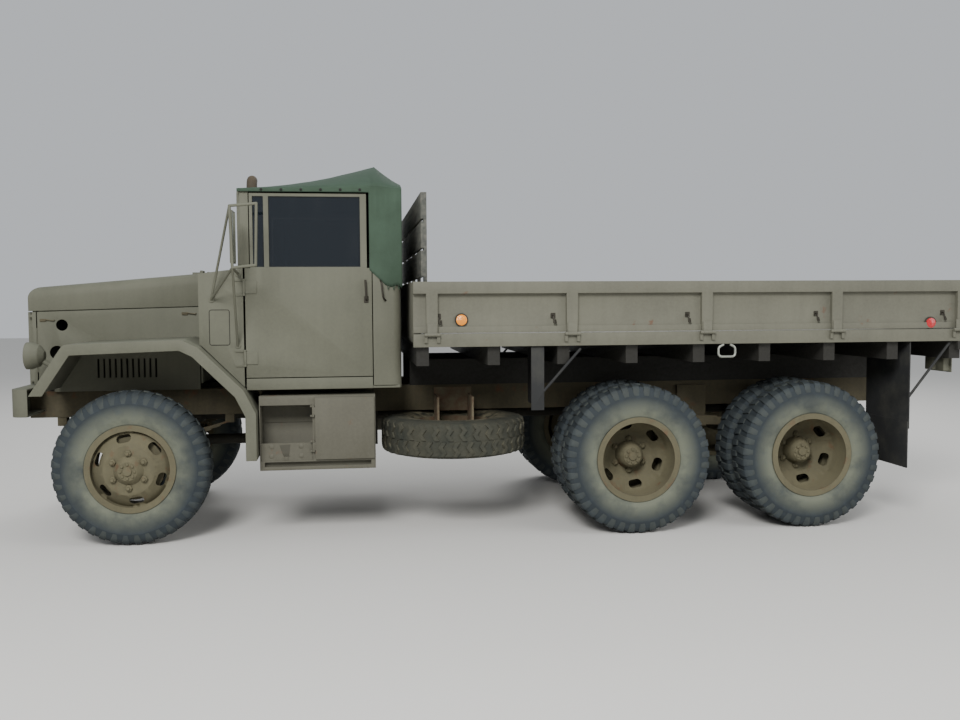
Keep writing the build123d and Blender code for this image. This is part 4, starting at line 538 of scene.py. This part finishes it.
HOOD_HALF = 470
HOOD_LATCHES = ((-640, 1452), (290, 1490))
LATCH_THICK = 8
LATCH_ROD = 3.5
latches = []
for side in (1, -1):
    for behind, height in HOOD_LATCHES:
        y = side * (HOOD_HALF + 7)
        latches.append(slab(behind - 30, behind + 12, side * HOOD_HALF, side * (HOOD_HALF + LATCH_THICK),
                            height - 9, height + 9))
        latches.append(smooth_rod((place(behind - 5, y, height + 6),
                                   place(behind + 62, y + side * 3, height - 4),
                                   place(behind + 66, y, height + 4)), LATCH_ROD, "latch_rod", bend=6))
assembled(latches, "hood_latches", "chassis", chassis_grime)

# Cowl details: a screwed access cover on each side, just behind the hood, lies flush in a
# narrow dark joint.
CAB_HALF = 985
joint_black, tree, shader = surface("joint_black", Roughness=0.9, Base_Color=linear("#12110d"))


def outline_of(front, rear, bottom, top, y):
    """Corner points of an upright rectangle in metres, for a rod with its corners turned."""
    return [place(front, y, bottom), place(front, y, top), place(rear, y, top), place(rear, y, bottom)]


COVER_FRONT, COVER_REAR, COVER_LOW, COVER_TOP = 519, 637, 1295, 1513
COVER_THICK = 1.2
JOINT_GAP, JOINT_RADIUS = 4, 2.2
joints = []
covers = []
for side in (1, -1):
    y = side * CAB_HALF
    joint = outline_of(COVER_FRONT - JOINT_GAP, COVER_REAR + JOINT_GAP, COVER_LOW - JOINT_GAP,
                       COVER_TOP + JOINT_GAP, y)
    joints.append(smooth_rod(joint, JOINT_RADIUS, "joint", closed=True, bend=16, sides=8))
    covers.append(slab(COVER_FRONT, COVER_REAR, y, y + side * COVER_THICK, COVER_LOW, COVER_TOP,
                       round_edge=0.5))
assembled(joints, "cowl_cover_joints", "chassis", joint_black)
assembled(covers, "cowl_covers", "chassis", cab_lacquer)


# Cab: welded floor, back and sills with two steel doors, whose window frames hold a fixed
# front light and a wound pane.  The panes are toughened glass, painted dark as the shaded cab behind.
for node in ("cab_floor", "cab_back", "windshield_frame", "door_left", "door_right"):
    dressed(node, cab_lacquer)
# Painted shade: the panes are dark and mostly opaque, standing for the shaded cab interior behind them.
painted_shade_glass, tree, shader = surface("painted_shade_glass", Base_Color=linear("#10161c"), Roughness=0.04,
                                     Alpha=0.86, IOR=1.5, Specular_IOR_Level=0.6)
smear = mask(tree, cloud(tree, 6.0, squeeze=(1, 1, 0.3)), 0.45, 0.8)
smeared = add(tree, "ShaderNodeMapRange", {"Value": smear, "To Min": 0.03, "To Max": 0.22})
tree.links.new(smeared.outputs["Result"], shader.inputs["Roughness"])
for node in ("door_glass_left", "door_glass_right", "windshield_glass"):
    dressed(node, painted_shade_glass, edge=0)

worn_steel, tree, shader = surface("worn_steel", Metallic=0.6, Roughness=0.55,
                                   Base_Color=linear("#35322a"))
for side, word in ((1, "left"), (-1, "right")):
    lever_y = side * (CAB_HALF + 22)
    handle = [smooth_rod((place(1512, side * CAB_HALF, 1575), place(1514, lever_y, 1580),
                          place(1508, lever_y, 1706)), 7, "lever", bend=12),
              slab(1498, 1528, side * CAB_HALF, side * (CAB_HALF + 4), 1556, 1600)]
    assembled(handle, f"door_handle_{word}", f"{word}_door", worn_steel)
    hook = ((1606, CAB_HALF - 4, 1702), (1610, CAB_HALF + 34, 1694), (1622, CAB_HALF + 36, 1585),
            (1640, CAB_HALF - 2, 1572))
    grab = [smooth_rod([place(behind, side * y, z) for behind, y, z in hook], 6, "grab", bend=26)]
    assembled(grab, f"grab_handle_{word}", "chassis", worn_steel)


# Seats: sewn canvas over springs and horsehair, a cushion and a back for each of the crew,
# with welted edges.  Air pressure in a cloth simulation crowns them.
seat_canvas, tree, shader = surface("seat_canvas", Roughness=0.9, Sheen_Weight=0.2)
weave = mask(tree, cloud(tree, 240.0, detail=2.0), 0.3, 0.7)
coat(tree, shader, coats(tree, "#3b3f2f", (weave, "#4d5140")), (0.3, 0.001, weave))
PAD_INSET = 0.010
PAD_CAP = 0.016             # the air lifts no point further than this
PAD_ROUND, PAD_GRID = 0.022, 0.010
PAD_PRESSURE, PAD_STEPS = 4, 15
BACK_HEIGHT = 0.3           # a pad that is higher is a back, with its welt on the front
WELT_INSET, BACK_WELT_DEPTH, CUSHION_WELT_DEPTH = 0.012, 0.008, 0.010


def pads_of(node):
    """The separate solids of a node as boxes of lowest and highest corner."""
    work = bmesh.new()
    work.from_mesh(frame["nodes"][node].data)
    bmesh.ops.remove_doubles(work, verts=work.verts, dist=1e-5)
    left = set(work.verts)
    found = []
    while left:
        stack = [left.pop()]
        group = []
        while stack:
            vert = stack.pop()
            group.append(vert.co.copy())
            for edge in vert.link_edges:
                other = edge.other_vert(vert)
                if other in left:
                    left.discard(other)
                    stack.append(other)
        found.append(([min(point[axis] for point in group) for axis in range(3)],
                      [max(point[axis] for point in group) for axis in range(3)]))
    work.free()
    return sorted(found)


def stuffed(low, high, name):
    """A crowned pad in a box, blown up by cloth simulation from a slightly smaller block."""
    work = bmesh.new()
    bmesh.ops.create_cube(work, size=1)
    for vert in work.verts:
        vert.co = [low[axis] + PAD_INSET
                   + (high[axis] - low[axis] - 2 * PAD_INSET) * (vert.co[axis] + 0.5)
                   for axis in range(3)]
    bmesh.ops.bevel(work, geom=work.edges, offset=PAD_ROUND, segments=3, affect="EDGES")
    pad = placed_in_scene(name, mesh_of(work, name))
    remesh = pad.modifiers.new("remesh", "REMESH")
    remesh.mode = "VOXEL"
    remesh.voxel_size = PAD_GRID
    pad.data = evaluated(pad)
    pad.modifiers.clear()
    start = [vert.co.copy() for vert in pad.data.vertices]
    cloth = pad.modifiers.new("cloth", "CLOTH")
    cloth.settings.use_pressure = True
    cloth.settings.uniform_pressure_force = PAD_PRESSURE
    cloth.settings.effector_weights.gravity = 0
    for step in range(1, PAD_STEPS + 1):
        bpy.context.scene.frame_set(step)
    blown = evaluated(pad)
    pad.modifiers.clear()
    for vert, rest in zip(blown.vertices, start):
        away = vert.co - rest
        if away.length > PAD_CAP:
            away = away.normalized() * PAD_CAP
        moved_to = rest + away
        vert.co = [min(max(moved_to[axis], low[axis]), high[axis]) for axis in range(3)]
    pad.data = blown
    bpy.context.scene.frame_set(1)
    result = pad.data
    bpy.data.objects.remove(pad)
    result.shade_smooth()
    return result


pad_meshes = []
welts = []
for low, high in pads_of("seats"):
    pad_meshes.append(stuffed(low, high, "pad"))
    inner = [value + WELT_INSET for value in low], [value - WELT_INSET for value in high]
    if high[2] - low[2] > BACK_HEIGHT:
        x = high[0] - BACK_WELT_DEPTH
        corners = [Vector((x, inner[a][1], inner[b][2])) for a, b in ((0, 0), (1, 0), (1, 1), (0, 1))]
    else:
        z = high[2] - CUSHION_WELT_DEPTH
        corners = [Vector((inner[a][0], inner[b][1], z)) for a, b in ((0, 0), (1, 0), (1, 1), (0, 1))]
    welts.append(smooth_rod(corners, 4, "welt", closed=True, bend=30, sides=8))
seat = finished(joined([(mesh, Matrix()) for mesh in pad_meshes], "seat_pads"), "seat_pads", "chassis",
                seat_canvas)
seat.data.shade_smooth()
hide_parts("seats")
assembled(welts, "seat_welts", "chassis", seat_canvas)
dressed("steering_wheel", engine_grime, edge=0.001)


# Canvas top: proofed cotton duck, stretched from the windshield frame over a bow and laced round
# the back of the cab.  It sags on each side of the bow, hangs in soft folds behind the doors
# and has a sewn hem with a row of snap fasteners over each door.
duck, tree, shader = surface("proofed_duck", Roughness=0.95, Specular_IOR_Level=0.1)
thread = cloud(tree, 320.0, detail=1.0)
colour = coats(tree, "#354236",
               (mask(tree, cloud(tree, 3.2), 0.3, 0.7), "#435346"),
               (facing_up(tree, 0.5), "#425247"),
               (mask(tree, thread, 0.3, 0.7, 0.15), "#29342b"))
coat(tree, shader, colour, (0.5, 0.006, cloud(tree, 9.0, detail=3.0, squeeze=(1, 1, 0.4))),
     (0.25, 0.0008, thread))

CANVAS_HALF = 994
CANVAS_FRONT, CANVAS_BOW, CANVAS_BACK = 702, 1590, 1749
CANVAS_EDGES = ((CANVAS_FRONT, 2290, 2343), (CANVAS_BOW, 2314, 2549), (CANVAS_BACK, 2298, 2408))
QUARTER_FRONT = 1536
HEM_LINE = 2270
CANVAS_LOW = 1652
BELT_LINE = 1783
SHIELD_LIP = 2.281
ARC_STEPS = 40
LEG_STEPS = 22
HEM_STEPS = 3
ARCH_POWER = 0.85           # rounder than a circle's arc at the shoulders
CORNER_REACH = 40           # the folds die out this near the rear corner


def canvas_arch(behind):
    """Edge and crown heights of the roof at a distance, with its sag on each side of the bow."""
    for (front, edge_a, crown_a), (rear, edge_b, crown_b) in zip(CANVAS_EDGES, CANVAS_EDGES[1:]):
        if behind <= rear:
            t = max(0.0, (behind - front) / (rear - front))
            sag = (20 if rear == CANVAS_BOW else 4) * sin(pi * t)
            return edge_a + (edge_b - edge_a) * t - sag * 0.2, crown_a + (crown_b - crown_a) * t - sag
    return CANVAS_EDGES[-1][1:]


def lower_edge(behind):
    """The quarter's lower edge: down along the body from the door, then scalloped between lacings."""
    t = (behind - QUARTER_FRONT) / (CANVAS_BACK - QUARTER_FRONT)
    if t < 0.5:
        return BELT_LINE - 12 - 2 * t * (BELT_LINE - 12 - CANVAS_LOW - 18)
    return CANVAS_LOW + 4 + 14 * abs(sin((t - 0.5) * 2 * pi * 1.5 + pi / 2))


def fold_depth(behind, z):
    """How far the cloth behind the doors falls in from its plane, in soft upright folds."""
    t = (behind - QUARTER_FRONT) / (CANVAS_BACK - QUARTER_FRONT)
    wave = sin(t * tau * 1.3 + z / 210)
    pulled = 5.0 * max(0.0, 1 - abs(z - 2230) / 160) * sin(t * tau * 3.2 + 0.6)
    return 5.0 + 3.0 * wave + pulled + 3.0 * noise.noise(Vector((behind / 70, z / 150, 3.1)))


def crease(behind, across):
    """Short creases where the cloth is drawn over the rear bow's shoulders."""
    near = max(0.0, 1 - abs(behind - CANVAS_BOW) / 90) * max(0.0, 1 - abs(abs(across) - 0.93) / 0.16)
    return 7.0 * near * sin(behind / 9.0)


stations = sorted({CANVAS_FRONT + (QUARTER_FRONT - CANVAS_FRONT) * n / 20 for n in range(21)}
                  | {QUARTER_FRONT + (CANVAS_BOW - QUARTER_FRONT) * n / 8 for n in range(9)}
                  | {CANVAS_BOW + (CANVAS_BACK - CANVAS_BOW) * n / 16 for n in range(17)})
work = bmesh.new()


def stitched(row, following):
    """Faces between two equal rows of vertices."""
    for n in range(len(row) - 1):
        work.faces.new((row[n], row[n + 1], following[n + 1], following[n]))


roof = []
for behind in stations:
    edge, crown = canvas_arch(behind)
    corner = min(1.0, (CANVAS_BACK - behind) / CORNER_REACH)
    quarter = behind >= QUARTER_FRONT
    row = []
    for n in range(HEM_STEPS):
        z = HEM_LINE + (edge - HEM_LINE) * n / HEM_STEPS
        inward = fold_depth(behind, z) * min(1.0, (edge - z) / 60) * corner if quarter else 1.0
        row.append(work.verts.new(place(behind, inward - CANVAS_HALF, z)))
    for n in range(ARC_STEPS + 1):
        across = -1 + 2 * n / ARC_STEPS
        lift = (1 - across ** 2) ** ARCH_POWER
        ripple = 2.0 * noise.noise(Vector((behind / 90, across * 9, 0.4))) - crease(behind, across)
        z = edge + (crown - edge) * lift + ripple - 2
        row.append(work.verts.new(place(behind, across * CANVAS_HALF, z)))
    for vert in reversed(row[:HEM_STEPS]):
        row.append(work.verts.new((vert.co.x, -vert.co.y, vert.co.z)))
    if roof:
        stitched(roof[-1], row)
    roof.append(row)
front = roof[0][HEM_STEPS:-HEM_STEPS]
stitched([work.verts.new((vert.co.x, vert.co.y, SHIELD_LIP)) for vert in front], front)
legs = {}
for end in (0, -1):
    previous = None
    for behind, row in zip(stations, roof):
        if behind < QUARTER_FRONT:
            continue
        corner = min(1.0, (CANVAS_BACK - behind) / CORNER_REACH)
        leg = [row[end]]
        for n in range(1, LEG_STEPS + 1):
            z = HEM_LINE + (lower_edge(behind) - HEM_LINE) * n / LEG_STEPS
            inward = fold_depth(behind, z) * corner
            y = inward - CANVAS_HALF
            leg.append(work.verts.new(place(behind, y if end == 0 else -y, z)))
        if previous:
            stitched(*((previous, leg) if end else (leg, previous)))
        previous = leg
    legs[end] = previous
top = roof[-1][HEM_STEPS:-HEM_STEPS]
sides = [roof[-1][:HEM_STEPS + 1][::-1] + legs[0][1:], roof[-1][-HEM_STEPS - 1:] + legs[-1][1:]]
previous = top
for n in range(1, len(sides[0])):
    share = (sides[0][0].co.z - sides[0][n].co.z) / (sides[0][0].co.z - sides[0][-1].co.z)
    row = [sides[0][n]]
    for vert in top[1:-1]:
        z = vert.co.z + (sides[0][-1].co.z - vert.co.z) * share
        sway = 0.006 * abs(noise.noise(Vector((vert.co.y * 5, z * 2.5, 8.0)))) * min(1.0, share * 5)
        row.append(work.verts.new((vert.co.x + sway, vert.co.y, z)))
    row.append(sides[1][n])
    stitched(row, previous)
    previous = row
CLOTH = 0.003
canvas = finished(mesh_of(work, "canvas_sheet"), "canvas_sheet", "chassis", duck)
shell = canvas.modifiers.new("cloth thickness", "SOLIDIFY")
shell.thickness = CLOTH
shell.offset = -1
canvas.data = evaluated(canvas)
canvas.modifiers.clear()
canvas.data.shade_smooth()
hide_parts("canvas_top")

# Sewn seams over the rear corners, and the lacing that ties the lower edge to the body.
SEAM_LINE = 1830
SEAM_THREAD = 1.6
EAVES_THREAD = 2.2
CORD_RADIUS = 2.0
LACINGS = (1655, 1690, 1725)
ROLL_RADIUS = 8
seams = []
for side in (1, -1):
    flat_seam = []
    for behind in range(1600, 1741, 20):
        inward = fold_depth(behind, SEAM_LINE) * min(1.0, (CANVAS_BACK - behind) / CORNER_REACH)
        flat_seam.append(place(behind, side * (CANVAS_HALF - 2 - inward), SEAM_LINE))
    seams.append(smooth_rod(flat_seam, SEAM_THREAD, "flat_seam", sides=8))
    eaves = [place(behind, side * (CANVAS_HALF - 1), canvas_arch(behind)[0] - 4)
             for behind in range(1544, 1745, 20)]
    seams.append(smooth_rod(eaves, EAVES_THREAD, "eaves_seam", sides=8))
    y = side * (CANVAS_HALF + 1)
    for behind in LACINGS:
        loop = (place(behind - 4, y, CANVAS_LOW + 26), place(behind, y + side * 2, CANVAS_LOW - 12),
                place(behind + 14, y, CANVAS_LOW + 22))
        seams.append(smooth_rod(loop, CORD_RADIUS, "lacing", bend=6, sides=8))
front_edge, front_crown = CANVAS_EDGES[0][1:]
front_roll = []
for n in range(ARC_STEPS + 1):
    lift = (1 - (-1 + 2 * n / ARC_STEPS) ** 2) ** ARCH_POWER
    front_roll.append(place(CANVAS_FRONT + 9, -CANVAS_HALF + 2 * CANVAS_HALF * n / ARC_STEPS,
                            front_edge - 9 + (front_crown - front_edge) * lift))
seams.append(smooth_rod(front_roll, ROLL_RADIUS, "front_roll"))
seams = assembled(seams, "canvas_seams", "chassis", duck)

# A length of one piece repeated at even steps along a line.
row_tree, given, out = tree_for("row_of_copies", (
    ("Copied piece", "NodeSocketObject"), ("Count", "NodeSocketInt"), ("Start", "NodeSocketVector"),
    ("End", "NodeSocketVector"), ("Material", "NodeSocketMaterial")))
line = add(row_tree, "GeometryNodeMeshLine", {"Count": given["Count"], "Start Location": given["Start"],
                                              "Offset": given["End"]}, mode="END_POINTS")
copied_to(line, row_tree, given, out)


def row(mesh, count, start, end, material, name):
    """Copies of a mesh at even steps from start to end, in metres, as one mesh."""
    return grown(row_tree, mesh, material, name, Count=count, Start=start, End=end)


def dome(radius, height, side=1):
    """A domed button along Y from the origin, in millimetres."""
    points = [(0, 0), (0, radius), (height * 0.45, radius * 0.92), (height * 0.85, radius * 0.55),
              (height, 0)]
    mesh = revolved(points, 16, "dome")
    mesh.transform(Matrix.Scale(side, 4, (0, 1, 0)))
    if side < 0:
        mesh.flip_normals()
    return mesh


SNAPS = 6
FIRST_SNAP, LAST_SNAP = (855, 2282), (1480, 2286)
snaps = []
for side in (1, -1):
    ends = [place(behind, side * CANVAS_HALF, z) for behind, z in (FIRST_SNAP, LAST_SNAP)]
    snaps.append(row(dome(9, 5, side), SNAPS, *ends, joint_black, "snaps"))
snaps = assembled(snaps, "canvas_snaps", "chassis", joint_black)


# Under the cab: a steel tool box with one door and a cut-away step on the left, battery box,
# fuel tank and air reservoir on the right, all hung from the rails.
box_lacquer = lacquer("box_lacquer", "#525045", "#434136", "#6e6c5f", rust_share=0.5, dents=0.5)
for node in ("toolbox", "toolbox_door", "battery_box", "tanks"):
    dressed(node, box_lacquer)
guard_black, tree, shader = surface("guard_black", Roughness=0.8)
scuffs = mask(tree, cloud(tree, 7.0, detail=7.0), 0.45, 0.8, 0.5)
coat(tree, shader, coats(tree, "#1b1c1c", (scuffs, "#45443a")))
dressed("splash_guards", guard_black)
rust_plate, tree, shader = surface("rusted_plate", Roughness=0.9, Metallic=0.1)
scale = mask(tree, cloud(tree, 14.0, detail=8.0), 0.35, 0.65)
coat(tree, shader, coats(tree, "#5c4636", (scale, "#6b6550")))
dressed("spare_carrier", rust_plate)

# The tool box's left third is a bent step: a back panel, a pressed kick plate with dimples and a
# torn triangle, a fascia behind the step bar and the door's sliding latch.
KICK_FRONT, KICK_REAR, KICK_LOW, KICK_TOP = 824, 1153, 533, 650
KICK_FACE, KICK_BACK = 990, 984
TEAR = ((940, 636), (1012, 640), (1000, 545), (972, 548))
DIMPLES = ((890, 628), (1080, 628), (890, 565), (1080, 565))
tear_top = [(behind, KICK_TOP) for behind, z in TEAR[:2]]
ahead = [(KICK_FRONT, KICK_LOW), (TEAR[3][0], KICK_LOW), TEAR[3], TEAR[0], tear_top[0],
         (KICK_FRONT, KICK_TOP)]
astern = [(TEAR[2][0], KICK_LOW), (KICK_REAR, KICK_LOW), (KICK_REAR, KICK_TOP), tear_top[1],
          TEAR[1], TEAR[2]]
work = bmesh.new()
for polygon in (ahead, astern, [tear_top[0], TEAR[0], TEAR[1], tear_top[1]]):
    face = work.faces.new([work.verts.new(place(behind, KICK_FACE, z)) for behind, z in polygon])
    for vert in bmesh.ops.extrude_face_region(work, geom=[face])["geom"]:
        if isinstance(vert, bmesh.types.BMVert):
            vert.co.y = KICK_BACK / 1000
STEP_SLABS = (              # front, rear, inner, outer, bottom, top
    (823, 1154, 801, 807, 765, 900),
    (846, 1532, 958, 964, 494, 530),
    (824, 1154, 978, 984, 533, 560),
    (1500, 1538, 1000, 1004, 700, 790),
)
step_parts = [mesh_of(work, "kick")] + [slab(*sizes, round_edge=1) for sizes in STEP_SLABS]
for behind, z in DIMPLES:
    boss = dome(17, 7)
    boss.transform(Matrix.Translation(place(behind, KICK_FACE - 1, z)))
    step_parts.append(boss)
latch = (place(1512, 1003, 752), place(1512, 1008, 744), place(1556, 1008, 744))
step_parts.append(smooth_rod(latch, 4, "latch", bend=5))
assembled(step_parts, "step_plates", "chassis", box_lacquer)


# Spare wheel: an older cross-ply with a block pattern set in chevrons, hung flat under the bed
# and plastered with dried yellow mud.
dried_mud, tree, shader = surface("muddy_rubber", Roughness=0.95, Specular_IOR_Level=0.15)
dust = add(tree, "ShaderNodeAttribute", attribute_name="dust").outputs["Fac"]
clods = mask(tree, cloud(tree, 16.0, detail=8.0), 0.35, 0.62)
caked = add(tree, "ShaderNodeMath", {0: dust, 1: clods}, operation="MULTIPLY").outputs[0]
damp = mask(tree, cloud(tree, 6.0), 0.4, 0.7, 0.4)
colour = coats(tree, "#32342f", (caked, "#78725c"), (damp, "#504d40"))
coat(tree, shader, colour, (0.8, 0.004, clods))
CHEVRONS = 34
chevron = block_along(((4, 500, 482, 26, 15), (40, 500, 482, 2, 15), (74, 499, 482, 26, 15),
                       (100, 492, 478, 4, 15), (112, 474, 462, 4, 13)), "chevron",
                      sides=((1, 0.0), (-1, pi / CHEVRONS)))
spare_parts = ((casing, Matrix()), (ring(chevron, CHEVRONS, dried_mud, "chevrons"), Matrix()))
spare_low, spare_high = [Vector(corner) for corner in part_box("spare_tyre")]
laid = Matrix.Translation((spare_low + spare_high) / 2) @ Matrix.Rotation(pi / 2, 4, "X")
spare_mesh = joined(((joined(spare_parts, "spare"), laid),), "spare_tread")
spare = finished(spare_mesh, "spare_tread", "chassis", dried_mud)
smoothed(spare, 35)
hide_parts("spare_tyre")


# Cargo bed: pressed drop sides with box-section posts, a channel top rail and hinges along the
# edge rail.  Marker reflectors, tarpaulin hooks and a lashing ring are bolted on.
for node in ("bed_front_wall", "drop_side_left", "drop_side_right", "tailgate"):
    dressed(node, bed_lacquer, edge=0.003)
EDGE_RAIL_BOTTOM = 1.272
# The deck's lacquer is painted nearly black below the edge rail, as painted shade under the bed.
deck_lacquer = lacquer("deck_lacquer", *BED_COLOURS, rust_share=BED_RUST, painted_shade_below=EDGE_RAIL_BOTTOM)
dressed("bed_deck", deck_lacquer, edge=0.003)
old_wood, tree, shader = surface("weathered_wood", Roughness=0.85, Specular_IOR_Level=0.2)
grain = cloud(tree, 6.0, detail=8.0, squeeze=(6.0, 0.5, 7.0))
colour = coats(tree, "#3c3d3b", (mask(tree, grain, 0.35, 0.7), "#66645c"),
               (mask(tree, cloud(tree, 4.0), 0.4, 0.7, 0.5), "#4d5149"))
coat(tree, shader, colour, (0.5, 0.002, grain))
dressed("front_rack", old_wood)

SIDE_FACE = 1185
HOOK_PLACES = (1972, 2717, 3622, 4521, 5440)
REFLECTORS = {"amber": (2113, 1443, "#d98412"), "red": (5345, 1396, "#a8161b")}
for side, word in ((1, "left"), (-1, "right")):
    hooks = []
    for behind in HOOK_PLACES:
        y = side * SIDE_FACE
        out_y = side * (SIDE_FACE + 26)
        hooks.append(smooth_rod((place(behind - 8, y, 1470), place(behind - 8, out_y, 1462),
                                 place(behind - 4, out_y, 1420), place(behind + 8, out_y, 1418),
                                 place(behind + 10, y + side * 8, 1440)), 5, "hook", bend=14))
        hooks.append(slab(behind - 22, behind + 10, y, side * (SIDE_FACE + 4), 1448, 1484))
    assembled(hooks, f"side_hooks_{word}", f"{word}_drop_side", worn_steel)
    for hue, (behind, height, code) in REFLECTORS.items():
        name = f"{hue}_reflector_{word}"
        lens, tree, shader = surface(name + "_lens", Base_Color=linear(code), Roughness=0.18,
                                     Specular_IOR_Level=0.7)
        prisms = add(tree, "ShaderNodeTexVoronoi", {"Scale": 220.0})
        facets = add(tree, "ShaderNodeBump", {"Strength": 0.4, "Distance": 0.001,
                                              "Height": prisms.outputs["Distance"]})
        tree.links.new(facets.outputs["Normal"], shader.inputs["Normal"])
        disc = dome(37, 14, side)
        disc.transform(Matrix.Translation(place(behind, side * (SIDE_FACE + 8), height)))
        assembled([disc], name, f"{word}_drop_side", lens)
        cup = revolved([(0, 0), (0, 43), (8, 43), (11, 40), (11, 34), (6, 0)], 24, "cup")
        cup.transform(Matrix.Translation(place(behind, side * SIDE_FACE, height)) @ Matrix.Rotation(
            0 if side > 0 else pi, 4, "Z"))
        assembled([cup], name + "_cup", f"{word}_drop_side", worn_steel)
RING_MIDDLE, RING_FACE = 3882, 1208
galvanised, tree, shader = surface("galvanised_ring", Base_Color=linear("#8d8f86"), Metallic=0.7,
                                   Roughness=0.5)
loops = []
for side in (1, -1):
    y = side * RING_FACE
    loops.append(smooth_rod((place(RING_MIDDLE - 22, y, 1266), place(RING_MIDDLE - 58, y, 1250),
                             place(RING_MIDDLE - 58, y, 1186), place(RING_MIDDLE + 58, y, 1186),
                             place(RING_MIDDLE + 58, y, 1250), place(RING_MIDDLE + 22, y, 1266)),
                            8, "lashing", bend=26))
assembled(loops, "lashing_rings", "chassis", galvanised)


# Mirrors, stack and air cleaner: tube brackets clamped to the cowl with silvered glass in the
# plates, an exhaust pipe whose end turns outwards, and a dry-element cleaner on the fender.
for node in ("mirrors", "air_cleaner"):
    dressed(node, cab_lacquer, edge=0.001)
burnt_steel = lacquer("burnt_steel", "#4b4438", "#2f2a22", "#6a5c48", rust_share=1.0,
                      roughness=0.8, dents=0.1)
dressed("exhaust_stack", burnt_steel)
silvered, tree, shader = surface("silvered_glass", Base_Color=linear("#b9c0c4"), Metallic=1.0,
                                 Roughness=0.06)
MIRROR_FACE, MIRROR_INNER, MIRROR_OUTER, MIRROR_LOW, MIRROR_TOP = 704, 1123, 1270, 1813, 2117
mirror_glasses = [slab(MIRROR_FACE, MIRROR_FACE + 2, side * MIRROR_INNER, side * MIRROR_OUTER,
                       MIRROR_LOW, MIRROR_TOP, round_edge=0) for side in (1, -1)]
assembled(mirror_glasses, "mirror_glasses", "chassis", silvered)


# A plain pale floor, soft studio light and the camera at the photograph's place.
floor_mesh = bpy.data.meshes.new("floor")
FLOOR_HALF = 40.0
floor_mesh.from_pydata([(-FLOOR_HALF, -FLOOR_HALF, 0), (FLOOR_HALF, -FLOOR_HALF, 0),
                        (FLOOR_HALF, FLOOR_HALF, 0), (-FLOOR_HALF, FLOOR_HALF, 0)], [], [(0, 1, 2, 3)])
pale, tree, shader = surface("pale_floor", Base_Color=linear("#cfcdc8"), Roughness=0.9)
floor_mesh.materials.append(pale)
floor = placed_in_scene("floor", floor_mesh)

world = bpy.data.worlds.new("studio")
bpy.context.scene.world = world
world.use_nodes = True
world.node_tree.nodes["Background"].inputs["Color"].default_value = linear("#dfe3e8")
world.node_tree.nodes["Background"].inputs["Strength"].default_value = 0.75


def soft_light(name, position, target, size, power):
    """A square area lamp at a point, turned towards another."""
    lamp = bpy.data.lights.new(name, "AREA")
    lamp.size = size
    lamp.energy = power
    holder = placed_in_scene(name, lamp)
    holder.location = position
    holder.rotation_euler = (Vector(target) - Vector(position)).to_track_quat("-Z", "Y").to_euler()


soft_light("key", (3.5, 11.0, 8.0), (0, 0, 1.2), 4.0, 1900)
soft_light("fill", (-9.0, 7.0, 4.5), (-1, 0, 1.0), 6.0, 500)
soft_light("back", (-2.0, -9.0, 7.0), (0, 0, 1.2), 6.0, 600)

CAMERA_BEHIND, CAMERA_SIDE, CAMERA_HEIGHT = 1407, 7322, 1558
YAW, PITCH, ROLL = 0.1336, -0.0602, -0.0060
FOCAL_PIXELS = 963.7
PICTURE_WIDTH = 960
lens = bpy.data.cameras.new("camera")
lens.sensor_width = 36
lens.lens = FOCAL_PIXELS / PICTURE_WIDTH * lens.sensor_width
lens.clip_end = 200
camera = placed_in_scene("camera", lens)
forward = Vector((-sin(YAW) * cos(PITCH), -cos(YAW) * cos(PITCH), sin(PITCH)))
level = forward.cross(Vector((0, 0, 1))).normalized()
upward = level.cross(forward)
across = cos(ROLL) * level + sin(ROLL) * upward
upright = -sin(ROLL) * level + cos(ROLL) * upward
camera.matrix_world = Matrix.Translation(place(CAMERA_BEHIND, CAMERA_SIDE, CAMERA_HEIGHT)) @ Matrix(
    (across, upright, -forward)).transposed().to_4x4()
bpy.context.scene.camera = camera
